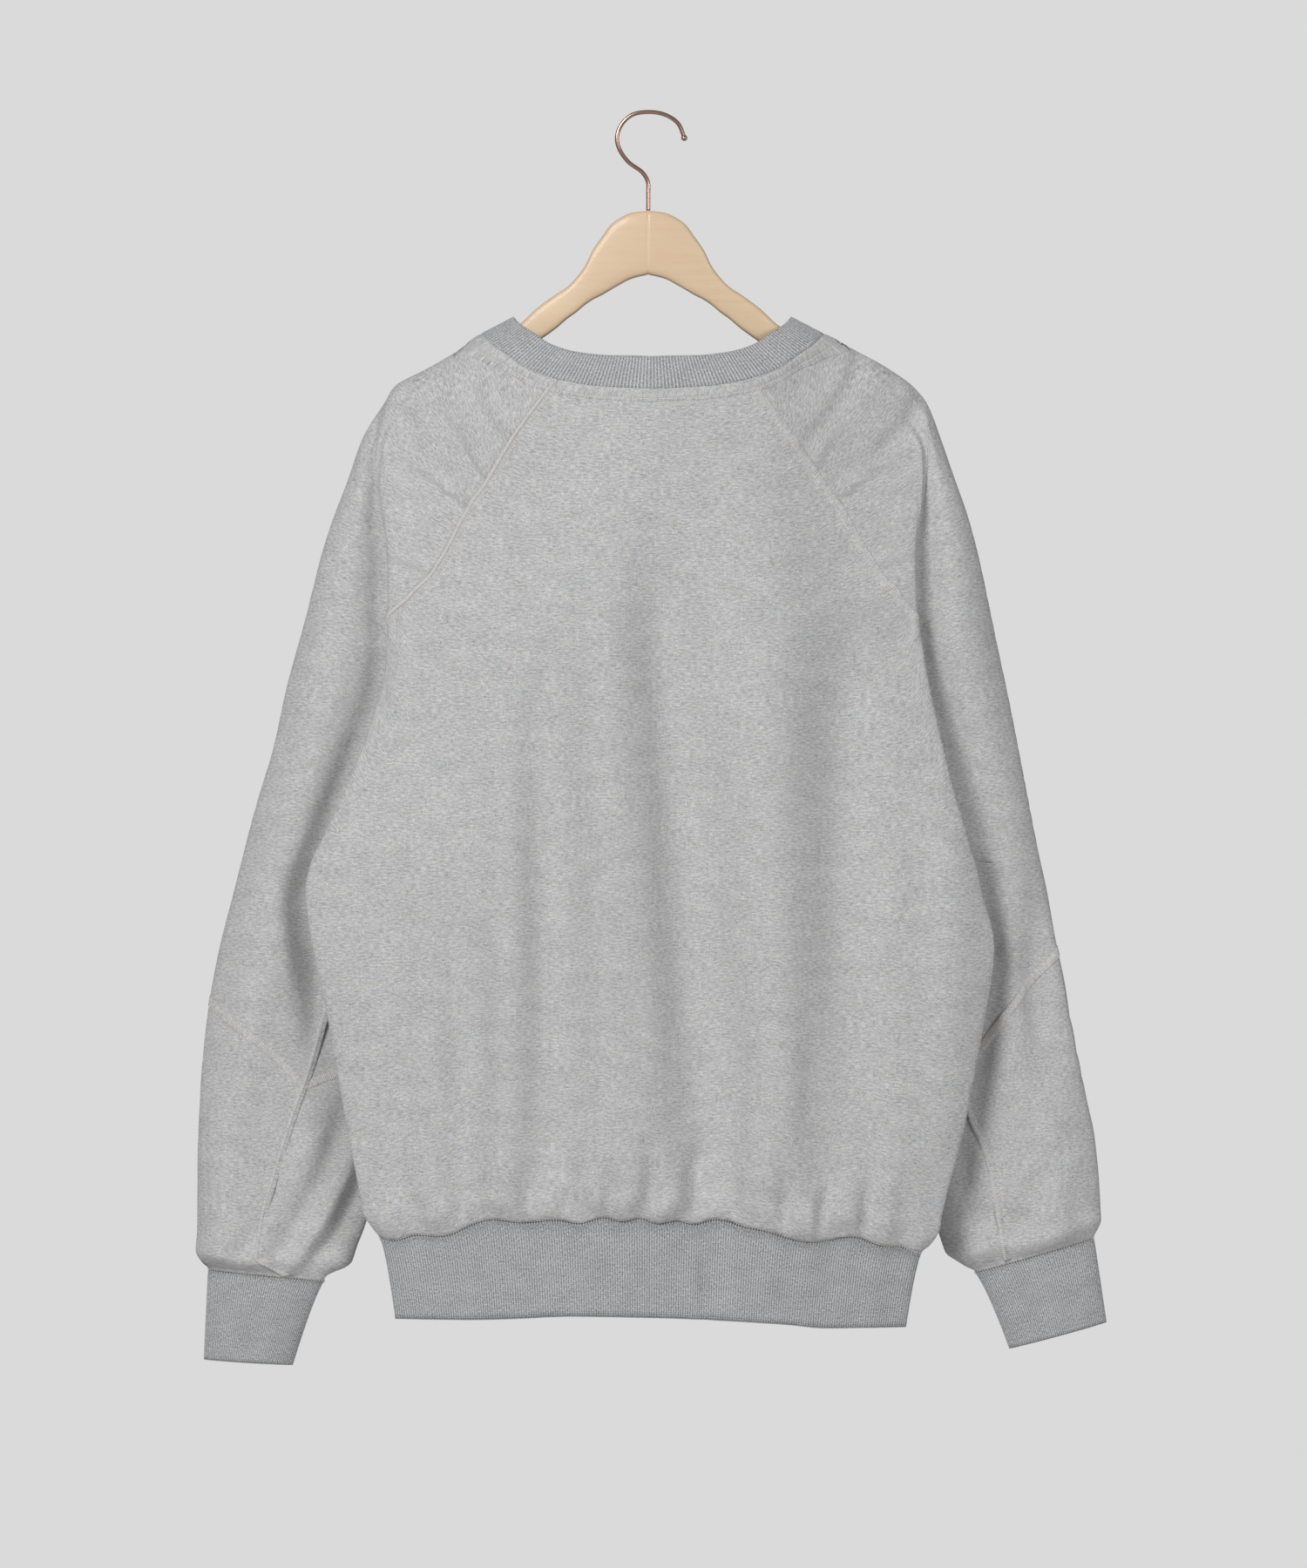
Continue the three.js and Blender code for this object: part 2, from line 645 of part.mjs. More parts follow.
// A ribbed band closed into a ring: fine raised ribs outside, a plain coarser wall inside.
function ribbedBand(name, ringAt, length, shares) {
  const ribs = Math.round(length / ribPitch / 2) * 2;
  const outerCount = ribs * 2;
  const skip = 4;
  const innerCount = outerCount / skip;
  const positions = [];
  const faces = [];
  const normalAt = (place, share) => {
    const round = ringAt(place + 0.004, share).sub(ringAt(place - 0.004, share));
    const along = ringAt(place, share + 0.02).sub(ringAt(place, share - 0.02));
    return along.cross(round).normalize();
  };
  const place = (count, share, depth) => {
    for (let index = 0; index < count; index += 1) {
      const turn = index / count;
      const rise = depth === 0 && index % 2 === 0 ? ribRise : 0;
      const point = ringAt(turn, share).addScaledVector(normalAt(turn, share), rise - depth);
      positions.push(...point.toArray());
    }
  };
  shares.forEach((share) => place(outerCount, share, 0));
  shares.forEach((share) => place(innerCount, share, ribWall));
  const inner = shares.length * outerCount;
  for (let row = 0; row < shares.length - 1; row += 1) {
    for (let index = 0; index < outerCount; index += 1) {
      const a = row * outerCount + index;
      const b = row * outerCount + ((index + 1) % outerCount);
      faces.push(a, a + outerCount, b + outerCount, a, b + outerCount, b);
    }
    for (let index = 0; index < innerCount; index += 1) {
      const a = inner + row * innerCount + index;
      const b = inner + row * innerCount + ((index + 1) % innerCount);
      faces.push(a, b + innerCount, a + innerCount, a, b, b + innerCount);
    }
  }
  const last = shares.length - 1;
  for (let index = 0; index < innerCount; index += 1) {
    const next = (index + 1) % innerCount;
    for (let part = 0; part < skip; part += 1) {
      const a = index * skip + part;
      const b = (a + 1) % outerCount;
      faces.push(a, b, inner + index);
      faces.push(last * outerCount + b, last * outerCount + a, inner + last * innerCount + index);
    }
    const corner = (next * skip) % outerCount;
    faces.push(corner, inner + next, inner + index);
    faces.push(
      last * outerCount + corner,
      inner + last * innerCount + index,
      inner + last * innerCount + next,
    );
  }
  return meshOf(name, positions, faces, ribKnit);
}

function neckRib() {
  const ringAt = (place, share) => {
    const turn = ((place % 1) + 1) % 1;
    const side = turn <= 0.5 ? 1 : -1;
    const angle = 360 * (side > 0 ? turn : 1 - turn);
    return neckRibPoint(side, angle, (1 - share) * neckRibHeight + seamGap);
  };
  return ribbedBand('neck_rib', ringAt, 600, [0, 1]);
}

function hemRib() {
  const ringAt = (place, share) => {
    const point = hemPoint(16 * place, share);
    point.z -= hemGap * (1 - share);
    return point;
  };
  return ribbedBand('hem_rib', ringAt, 760, [0, 1]);
}

function cuff(side) {
  const ringAt = (place, share) => {
    const point = cuffPoint(side, side * 360 * place * -1, share);
    point.z -= seamGap * (1 - share);
    return point;
  };
  return ribbedBand(`${sideName(side)}_cuff`, ringAt, 200, [0, 0.35, 1]);
}

// Top and lower edge of the hanger's arms, by distance from the middle.
const hangerEdge = table('out left right low', [
  [0, 70, 70, 112], [12, 71.5, 71.5, 115], [20, 75, 75, 119], [27, 80, 80, 123],
  [33, 88, 88, 126.5], [40, 98, 98, 130], [46, 110, 110, 134], [52, 118, 118, 139],
  [59, 125, 125, 144], [66, 129.5, 129.5, 150], [80, 139.5, 139.5, 160], [94, 152, 152, 170],
  [109, 161, 160.5, 179], [124, 168, 167, 187], [138, 177, 173, 195],
  [152, 184.5, 180, 202], [166, 192, 188, 208], [176, 198, 194, 212],
]);
const hangerUnderside = 4;
const hangerBow = 38;
const hangerFront = -8;
const hangerHalf = 190;

const hangerDepth = (out) => hangerFront + hangerBow * (out / hangerHalf) ** 1.6;

// Joins sections with equal numbers of points into one closed body.
function loft(name, sections, material) {
  const count = sections[0].length;
  const positions = sections.flat().flatMap((point) => point.toArray());
  const faces = [];
  for (let row = 0; row < sections.length - 1; row += 1) {
    for (let index = 0; index < count; index += 1) {
      const a = row * count + index;
      const b = row * count + ((index + 1) % count);
      faces.push(a, b + count, a + count, a, b, b + count);
    }
  }
  const end = (sections.length - 1) * count;
  for (let index = 1; index < count - 1; index += 1) {
    faces.push(0, index + 1, index);
    faces.push(end, end + index, end + index + 1);
  }
  return meshOf(name, positions, faces, material);
}

function hangerWood() {
  const half = woodThickness / 2;
  const flat = half - 3;
  const places = hangerEdge.out;
  const across = [...places.slice(1).reverse().map((out) => -out), ...places];
  const sections = across.map((x) => {
    const out = Math.abs(x);
    const y = hangerDepth(out);
    const top = read(hangerEdge, x < 0 ? 'left' : 'right', out);
    const low = read(hangerEdge, 'low', out);
    const corners = [
      [-flat, top], [-half, top + woodEdge], [-half, low], [-flat, low + hangerUnderside],
      [flat, low + hangerUnderside], [half, low], [half, top + woodEdge], [flat, top],
    ];
    return corners.map(([side, down]) => new THREE.Vector3(x, y + side, -down));
  });
  return loft('hanger_wood', sections, beech);
}

// The hook's wire, by hand, from its seat in the wood to its ball.
function hook() {
  const way = [
    [0, -hookSeat + seamGap], [0, -58], [-0.3, -49], [-4, -42.5], [-14.5, -34.5], [-21, -25],
    [-22.6, -17], [-19.6, -8], [-11.6, -0.6], [0.6, 1.5], [12.4, -0.6], [21.4, -6.6],
    [25.2, -14.6], [26.6, -19.4],
  ].map(([x, z]) => new THREE.Vector3(x, hangerFront, z));
  const path = new THREE.CatmullRomCurve3(way, false, 'centripetal');
  const rings = steps(0, 1, 44);
  const wire = hookWire / 2;
  const sections = rings.map((share) => ({ share, radius: wire }));
  const ballShare = hookBall / path.getLength();
  sections.pop();
  sections.pop();
  [-0.95, -0.6, 0, 0.6, 0.9].forEach((height) => {
    const radius = (hookBall / 2) * Math.sqrt(1 - height * height);
    sections.push({ share: 1 - 0.5 * ballShare * (1 - height), radius: Math.max(radius, 0.7) });
  });
  const corners = 8;
  const circles = sections.map(({ share, radius }) => {
    const point = path.getPointAt(Math.min(1, share));
    const along = path.getTangentAt(Math.min(1, share));
    const depth = new THREE.Vector3(0, 1, 0);
    const across = new THREE.Vector3().crossVectors(depth, along).normalize();
    return steps(0, corners - 1, corners - 1).map((index) => {
      const turn = (2 * Math.PI * index) / corners;
      return point.clone()
        .addScaledVector(across, radius * Math.cos(turn))
        .addScaledVector(depth, radius * Math.sin(turn));
    });
  });
  return loft('hook', circles, copper);
}

const sweatshirt = new THREE.Group();
sweatshirt.add(backPanel(), frontPanel(), neckRib(), hemRib());
[-1, 1].forEach((side) => sweatshirt.add(upperSleeve(side), forearm(side), cuff(side)));
sweatshirt.add(hangerWood(), hook());
sweatshirt.position.y = -hangerFront;

export default sweatshirt;
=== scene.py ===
# A raglan crewneck sweatshirt of heather grey fleece, hung on a wooden hanger with a copper hook.
# Places on the garment are worked out in millimetres from the inside top of the hook: x to the
# right, y away from the viewer, and down. They turn into metres when a mesh is made.

import math

import bpy
import numpy as np
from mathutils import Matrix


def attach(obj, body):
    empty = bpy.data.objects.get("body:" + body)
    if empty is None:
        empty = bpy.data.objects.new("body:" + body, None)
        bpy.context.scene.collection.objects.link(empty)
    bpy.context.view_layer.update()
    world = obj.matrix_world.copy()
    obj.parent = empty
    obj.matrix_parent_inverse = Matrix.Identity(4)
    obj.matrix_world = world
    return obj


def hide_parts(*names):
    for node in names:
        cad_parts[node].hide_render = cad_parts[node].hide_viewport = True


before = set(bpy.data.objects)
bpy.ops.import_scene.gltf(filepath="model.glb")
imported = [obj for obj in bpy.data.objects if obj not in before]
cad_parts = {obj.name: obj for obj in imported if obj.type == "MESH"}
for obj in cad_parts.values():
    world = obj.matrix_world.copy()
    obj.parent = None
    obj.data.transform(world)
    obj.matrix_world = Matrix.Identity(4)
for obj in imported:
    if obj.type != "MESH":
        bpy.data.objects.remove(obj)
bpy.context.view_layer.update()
print("frame loaded")

mm = 0.001
scene = bpy.context.scene


# Small helpers for shapes

def mix(a, b, share):
    return a + (b - a) * share


def ease(value, start, end):
    share = np.clip((value - start) / (end - start), 0, 1)
    return share * share * (3 - 2 * share)


def unit(vectors):
    length = np.linalg.norm(vectors, axis=-1, keepdims=True)
    return vectors / np.maximum(length, 1e-9)


def spot(x, y, down):
    x, y, down = np.broadcast_arrays(x, y, down)
    return np.stack([x, y, -down], axis=-1).astype(float)


# Named columns, read at a place given in the first of them.
def table(names, rows):
    columns = dict(zip(names.split(), np.array(rows, float).T))
    columns["key"] = columns[names.split()[0]]
    return columns


# A column read on a smooth line that never overshoots its rows.
def read(source, name, place):
    keys = source["key"]
    values = source[name]
    slopes = np.diff(values) / np.diff(keys)
    before = slopes[:-1]
    after = slopes[1:]
    same = before * after > 0
    middle = np.zeros(len(before))
    middle[same] = 2 * before[same] * after[same] / (before[same] + after[same])
    tangents = np.concatenate([slopes[:1], middle, slopes[-1:]])
    place = np.clip(place, keys[0], keys[-1])
    row = np.clip(np.searchsorted(keys, place) - 1, 0, len(keys) - 2)
    step = keys[row + 1] - keys[row]
    share = (place - keys[row]) / step
    square = share * share
    cube = square * share
    return (
        values[row] * (2 * cube - 3 * square + 1)
        + tangents[row] * step * (cube - 2 * square + share)
        + values[row + 1] * (3 * square - 2 * cube)
        + tangents[row + 1] * step * (cube - square)
    )


# One stretch of a smooth centripetal curve through four neighbouring points.
def stretchOf(points, share):
    gaps = []
    for a, b in zip(points[:-1], points[1:]):
        gaps.append(np.maximum(np.sum((b - a) ** 2, axis=-1, keepdims=True) ** 0.25, 1e-4))
    p0, p1, p2, p3 = points
    g0, g1, g2 = gaps
    t1 = ((p1 - p0) / g0 - (p2 - p0) / (g0 + g1) + (p2 - p1) / g1) * g1
    t2 = ((p2 - p1) / g1 - (p3 - p1) / (g1 + g2) + (p3 - p2) / g2) * g1
    share = share[..., None]
    bend = 3 * (p2 - p1) - 2 * t1 - t2
    twist = 2 * (p1 - p2) + t1 + t2
    return p1 + t1 * share + bend * share ** 2 + twist * share ** 3


# A point on a closed curve through the points of the last axis but one.
def onLoop(points, line):
    count = points.shape[-2]
    turn = np.mod(line, count)
    start = np.floor(turn).astype(int)
    points = np.broadcast_to(points, turn.shape + points.shape[-2:])
    near = []
    for step in (-1, 0, 1, 2):
        index = np.mod(start + step, count)[..., None, None]
        near.append(np.take_along_axis(points, index, axis=-2)[..., 0, :])
    return stretchOf(near, turn - start)


# The garment's lines, the same as in the solids

garment = {
    "wall": 2.0,            # fleece
    "ribWall": 2.2,
    "seamGap": 0.3,
    "neckHalfWidth": 124,
    "neckOffCentre": 3,
    "neckRibHeight": 23,
    "armpitDown": 540,
    "hemDown": 805,
    "cuffDown": 836,
    "cuffThickness": 25,
    "cuffMiddle": 31,       # depth of the cuffs' middle
    "hangerFront": -8,      # depth of the hook's plane before everything is centred on it
}
armpit = garment["armpitDown"]

outerEdge = table("down left right", [
    (158, 121, 127), (170, 139, 150), (182, 161, 173), (195, 184, 192), (207, 191, 202),
    (232, 207, 212), (258, 217, 221), (308, 233, 236), (358, 247, 247), (409, 262, 259),
    (459, 273, 269), (510, 287, 279), (560, 301, 289), (610, 313, 297), (661, 322, 305),
    (711, 326, 315), (762, 328, 325), (812, 328, 329), (836, 327, 328),
])
sideFold = table("down left right", [
    (188, 84, 84), (207, 112, 112), (234, 163, 165), (248, 180, 184), (264, 186, 192),
    (300, 189, 193), (350, 188, 194), (396, 190, 199), (444, 202, 208), (488, 219, 218),
    (525, 236, 230), (542, 244, 236), (561, 248, 241), (600, 243, 250), (650, 232, 243),
    (695, 223, 234), (757, 212, 219), (799, 204, 208), (821, 201, 203),
])
backSeam = table("down left right", [
    (193, 67, 70), (222, 87, 94), (248, 104, 112), (267, 115, 125), (287, 129, 139),
    (314, 143, 155), (332, 154, 167), (350, 167, 178), (380, 175, 181), (444, 188, 194),
    (488, 205, 204), (540, 229, 222), (600, 229, 236), (695, 209, 220), (799, 190, 194),
    (821, 187, 189),
])
sleeveInside = table("down fold left right", [
    (540, 122, 200, 200), (600, 140, 220, 211), (646, 154, 234, 219), (685, 168, 245, 226),
    (720, 181, 258, 232), (757, 193, 270, 246), (796, 206, 281, 254), (836, 224, 286, 260),
])
yokeLines = table("line angle lift", [
    (0, 0, 0), (1, 18, 0), (2, 33, 0.1), (3, 42, 0.45), (4, 50, 0.55), (5, 57, 0.65),
    (6, 64, 0.75), (7, 76, 0.9), (8, 90, 1), (9, 104, 0.9), (10, 116, 0.7), (11, 124, 0.5),
    (12, 131, 0.35), (13, 139, 0.15), (14, 160, 0), (15, 180, 0),
])
yokeLift = 0.6
yokeDepth = table(
    "at back mid seam fold turn tip in near edge far inner return pit side fmid front",
    [
        (0, -42, -39, -33, -28, -23, -18, -12, -2, 11, 18, 24, 27, 30, 33, 38, 40),
        (0.12, -45, -38, -27, -13, -9, -6, -3, 5, 16, 27, 31, 34, 37, 39, 42, 42),
        (0.25, -47, -40, -15, 9, 12, 14, 15, 18, 29, 42, 46, 48, 48, 47, 45, 43),
        (0.4, -49, -42, -12, 2, 5, 7, 8, 12, 32, 51, 53, 51, 47, 44, 44, 42),
        (0.55, -50, -43, -11, -3, 1, 4, 6, 9, 32, 54, 53, 46, 40, 37, 40, 41),
        (0.7, -50, -43, -15, -7, -1, 3, 6, 8, 32, 55, 49, 38, 31, 27, 36, 39),
        (0.85, -50, -43, -18, -10, -4, 2.5, 6.5, 8, 31, 56, 44, 29, 23, 18, 30, 37),
        (1, -50, -43, -20, -12, -5, 3, 7, 8, 31, 57, 38, 21, 16, 12, 24, 35),
    ],
)
yokeTuck = table("at tuck inner pit side", [
    (0, -21, 111, 94, 81), (0.12, -12, 126, 108, 92), (0.25, -8, 172, 150, 125),
    (0.4, -6, 185, 165, 145), (0.55, 4, 180, 172, 152), (0.7, 18, 163, 185, 160),
    (0.85, 32, 142, 194, 168), (1, 40, 122, 202, 176),
])
seamLine = table("at back front", [
    (0, 2, 13), (0.43, 2, 13), (0.48, 2.12, 13), (0.5, 2.23, 12.95), (0.54, 2.5, 12.9),
    (0.58, 2.86, 12.8), (0.7, 3.8, 12.5), (0.85, 4.5, 12.2), (1, 5, 12),
])
bodyDepth = table("at back mid seam fold turn under side fmid front tuck", [
    (1, -50, -43, -20, -12, -5, 3, 12, 24, 35, 40),
    (1.08, -50, -43, -20, -12, -5, 4, 10, 21, 33, 40),
    (1.5, -47, -41, -19, -11, -4, 4, 10, 20, 30, 38),
    (1.85, -43, -38, -18, -11, -4, 4, 9, 18, 27, 34),
    (2, -38, -34, -16, -9, -3, 4, 8, 15, 23, 30),
])
sleeveDepth = table("at under in near edge far inner return", [
    (1, 3, 7, 8, 31, 57, 38, 21), (1.06, 13, 11, 9, 31, 57, 37, 20),
    (1.4, 15, 12, 10, 31, 55, 35, 20), (1.7, 14, 12, 12, 31, 52, 33, 19),
    (2, 14, 13, 14, 31, 49, 31, 18),
])
hemLevel = table("x seam edge", [
    (-202, 815, 871), (-147, 807, 871), (-112, 800, 870), (-59, 799, 868), (8, 799, 869),
    (59, 801, 871), (110, 812, 874), (145, 813, 877), (200, 821, 877),
])
hemTopShare = 0.955
hemEdgeShare = 0.9
neckLevel = table("angle down", [
    (0, 200), (18, 198), (33, 193), (46, 185), (62, 171), (90, 158), (115, 178), (140, 222),
    (160, 252), (180, 262),
])
neckBackDepth = 53
neckFrontDepth = 29
neckRidgeDepth = 11
cuffs = {
    -1: {"topIn": 236, "topOut": 320, "topInDown": 846, "topOutDown": 838,
         "edgeIn": 259, "edgeOut": 323, "edgeInDown": 907, "edgeOutDown": 903},
    1: {"topIn": 238, "topOut": 324, "topInDown": 840, "topOutDown": 815,
        "edgeIn": 263, "edgeOut": 333, "edgeInDown": 895, "edgeOutDown": 876},
}
cuffTurn = table("line turn", [
    (5, 120), (6, 95), (7, 60), (8, 0), (9, -90), (10, -180), (11, -215), (12, -240),
])
elbow = {-1: {"outer": 1.28, "under": 1.54}, 1: {"outer": 1.15, "under": 1.53}}
backFolds = table("x slant top bottom width hollow", [
    (-141, 0, 540, 800, 22, 6), (-110, 0.02, 430, 790, 20, -4), (-78, 0, 370, 800, 20, 8),
    (-34, 0.03, 300, 790, 22, -6), (0, 0.09, 290, 800, 24, 12), (79, 0.02, 360, 800, 30, -6),
    (136, 0, 350, 760, 22, 6),
])
frontFolds = table("x slant top bottom width hollow", [
    (-104, -0.03, 400, 800, 24, 6), (-46, 0.02, 340, 800, 26, -5), (6, -0.04, 320, 800, 24, 9),
    (62, 0.03, 380, 800, 24, -5), (108, 0, 430, 800, 22, 5),
])
foldAtHem = 0.4
hemGap = 0.45
hemCrease = {"x": 38, "slant": 6, "width": 5, "depth": 3.0}    # in the rib below the back
gathers = {"pitch": 26, "depth": 0.5, "reach": 45}
sideNames = {-1: "left", 1: "right"}


def neckRing(angle):
    turn = np.cos(np.radians(angle))
    reach = np.where(turn > 0, neckBackDepth, neckFrontDepth)
    out = garment["neckHalfWidth"] * np.sin(np.radians(angle))
    return out, neckRidgeDepth - reach * turn, read(neckLevel, "down", angle)


# The neck rib stands on the neck ring and leans in over it.
def neckRibPoint(side, angle, rise):
    out, y, down = neckRing(angle)
    sine = np.sin(np.radians(angle))
    lean = 1 - 0.48 * sine * sine
    inward = (y - neckRidgeDepth) * 0.16 * rise / garment["neckRibHeight"]
    x = garment["neckOffCentre"] + side * (out - rise * sine)
    return spot(x, y - inward, down - rise * lean)


def yokeShare(line, at):
    return at ** (1 + yokeLift * read(yokeLines, "lift", line))


def yokeDown(line, at):
    start = neckRing(read(yokeLines, "angle", line))[2]
    return mix(start, armpit, yokeShare(line, at))


def sections(outs, depths):
    outs = np.broadcast_arrays(*outs)
    depths = np.broadcast_arrays(*depths)
    return np.stack([np.stack(outs, -1), np.stack(depths, -1)], -1)


# Control points of one half of a section through the yoke, from the back round to the front.
def yokeHalf(side, at):
    name = sideNames[side]
    folded = ease(at, 0.3, 0.8)
    seam = read(backSeam, name, yokeDown(2, at))
    fold = read(sideFold, name, yokeDown(3, at))
    edge = read(outerEdge, name, yokeDown(8, at))
    tuck, inner, pit, front = (read(yokeTuck, c, at) for c in ("tuck", "inner", "pit", "side"))
    tip = fold - tuck
    into = tip + mix(3, 14, folded)
    zero = 0 * at
    outs = [
        zero, 0.54 * seam, seam, fold, fold + mix(5, -14, folded), tip, into,
        mix(into, edge, 0.55), edge, mix(inner, edge, 0.6), inner, mix(inner, pit, 0.45),
        pit, front, 0.55 * front, zero,
    ]
    names = "back mid seam fold turn tip in near edge far inner return pit side fmid front"
    return sections(outs, [read(yokeDepth, column, at) for column in names.split()])


def bodyHalf(side, at):
    name = sideNames[side]
    down = mix(armpit, garment["hemDown"], at - 1)
    seam = read(backSeam, name, down)
    fold = read(sideFold, name, down)
    under = fold - read(bodyDepth, "tuck", at)
    zero = 0 * at
    outs = [
        zero, 0.54 * seam, seam, fold, fold - 14, under, under - 26, 0.52 * (under - 26), zero,
    ]
    names = "back mid seam fold turn under side fmid front"
    return sections(outs, [read(bodyDepth, column, at) for column in names.split()])


def bothHalves(halfAt, at):
    left = halfAt(-1, at)[..., -2:0:-1, :] * np.array([-1, 1])
    return np.concatenate([halfAt(1, at), left], axis=-2)


yokeStart = bothHalves(yokeHalf, np.zeros(1))[0]


# Lines 0 to 15 run round the right half of the yoke, and 30 down to 15 round the left.
def yokePoint(line, at):
    line, level = np.broadcast_arrays(line, np.maximum(0.0, at))
    turn = np.mod(line, 30)
    side = np.where(turn <= 15, 1, -1)
    half = np.where(turn <= 15, turn, 30 - turn)
    here = onLoop(bothHalves(yokeHalf, level), turn)
    start = onLoop(yokeStart, turn)
    out, depth, down = neckRing(read(yokeLines, "angle", half))
    stay = 1 - ease(level, 0, 0.14)
    x = here[..., 0] + (garment["neckOffCentre"] + side * out - start[..., 0]) * stay
    y = here[..., 1] + (depth - start[..., 1]) * stay
    return spot(x, y, mix(down, armpit, yokeShare(half, level)))


def foldShift(folds, x, down):
    shift = 0 * x
    for row in range(len(folds["x"])):
        top = folds["top"][row]
        bottom = folds["bottom"][row]
        middle = folds["x"][row] + folds["slant"][row] * (down - top)
        across = (x - middle) / folds["width"][row]
        stretch = ease(down, top, top + 90) * (1 - ease(down, bottom, bottom + 60))
        shift = shift + folds["hollow"][row] * stretch * np.exp(-across * across)
    return shift * mix(1, foldAtHem, ease(down, 750, 800))


def gather(x, down):
    reach = ease(down, 800 - gathers["reach"], 795)
    return gathers["depth"] * reach * np.cos(2 * np.pi * x / gathers["pitch"])


# The body below the armpit. Lines 0 to 8 run round the right half, and 16 down to 8 the left.
def bodyPoint(line, at):
    line, level = np.broadcast_arrays(line, np.maximum(1.0, at))
    here = onLoop(bothHalves(bodyHalf, level), line)
    drawn = mix(1, hemTopShare, ease(level, 1.93, 2))
    x = here[..., 0]
    seam = read(hemLevel, "seam", x)
    seam = seam + 1.5 * np.sin(x / 6 + 2.4 * np.sin(x / 37)) + 1.2 * np.sin(x / 14.5)
    down = mix(armpit, seam, level - 1)
    return spot(here[..., 0] * drawn, here[..., 1] * drawn, down)


# How far the soft folds press the back and the front in, on the body's lines.
def backPress(line, point):
    x, down = point[..., 0], -point[..., 2]
    return (1 - ease(np.abs(line), 2.2, 3)) * (foldShift(backFolds, x, down) + gather(x, down))


def frontPress(line, point):
    x, down = point[..., 0], -point[..., 2]
    return (1 - ease(np.abs(line), 1.3, 2.2)) * (gather(x, down) - foldShift(frontFolds, x, down))


def hemPoint(line, share):
    top = bodyPoint(line, np.full(np.shape(line), 2.0))
    turn = np.mod(line, 16)
    press = backPress(np.where(turn > 8, turn - 16, turn), top) + frontPress(turn - 8, top)
    drawn = mix(1, hemEdgeShare / hemTopShare, np.clip(share, 0, 1) ** 0.7)
    edge = read(hemLevel, "edge", top[..., 0] / hemTopShare)
    y = top[..., 1] * drawn + press * mix(1, 0.3, ease(share, 0.3, 1))
    away = (top[..., 0] - hemCrease["x"] - hemCrease["slant"] * share) / hemCrease["width"]
    crease = hemCrease["depth"] * ease(share, 0.1, 0.6) * np.exp(-(away ** 2))
    y = y + crease * (top[..., 1] < 0)
    return spot(top[..., 0] * drawn, y, mix(-top[..., 2], edge, share))


def bodyOrYoke(yokeLine, bodyLine, at):
    yoke = yokePoint(yokeLine, np.minimum(at, 1.0))
    body = bodyPoint(bodyLine, at)
    return np.where((at <= 1)[..., None], yoke, body)


def backPoint(line, at):
    point = bodyOrYoke(line, line, at)
    point[..., 1] += backPress(line, point)
    return point


# The front panel's lines count from its middle, to the right below 0 and to the left above.
def frontPoint(line, at):
    point = bodyOrYoke(15 + line, 8 + line, at)
    point[..., 1] += frontPress(line, point)
    return point


def cuffPoint(side, turn, share):
    cuff = cuffs[side]
    inner = mix(cuff["topIn"], cuff["edgeIn"], np.clip(share, 0, 1) ** 0.8)
    outer = mix(cuff["topOut"], cuff["edgeOut"], share)
    across = 0.5 + 0.5 * np.cos(np.radians(turn))
    down = mix(
        mix(cuff["topInDown"], cuff["topOutDown"], across),
        mix(cuff["edgeInDown"], cuff["edgeOutDown"], across),
        share,
    )
    depth = garment["cuffMiddle"] - 0.5 * garment["cuffThickness"] * np.sin(np.radians(turn))
    return spot(side * mix(inner, outer, across), depth, down)


# Lines 5 to 12 of a sleeve run from its near side round the outer edge to the underarm seam.
def sleevePoint(side, line, at):
    line, at = np.broadcast_arrays(line, at)
    level = np.maximum(1.0, at)
    name = sideNames[side]
    down = mix(armpit, garment["cuffDown"], level - 1)
    edge = read(outerEdge, name, down)
    fold = read(sleeveInside, "fold", down)
    under = read(sleeveInside, name, down)
    outs = [
        under, mix(under, edge, 0.3), mix(under, edge, 0.66), edge, mix(fold, edge, 0.5), fold,
        mix(fold, under, 0.4),
    ]
    names = "under in near edge far inner return"
    loop = sections(outs, [read(sleeveDepth, column, level) for column in names.split()])
    here = onLoop(loop * np.array([side, 1]), line - 5)
    end = cuffPoint(side, read(cuffTurn, "turn", line), np.zeros(line.shape))
    drawn = ease(level, 1.95, 2)
    low = spot(
        mix(here[..., 0], end[..., 0], drawn),
        mix(here[..., 1], end[..., 1], drawn),
        mix(armpit, -end[..., 2], level - 1),
    )
    yoke = yokePoint(line if side > 0 else 30 - line, np.minimum(at, 1.0))
    return np.where((at <= 1)[..., None], yoke, low)


# The elbow seam's level on a sleeve, lowest at the underarm seam.
def elbowLevel(side, share):
    edge = 0.43
    away = np.where(share < edge, (edge - share) / edge, (share - edge) / (1 - edge))
    return mix(elbow[side]["outer"], elbow[side]["under"], away ** 1.15)
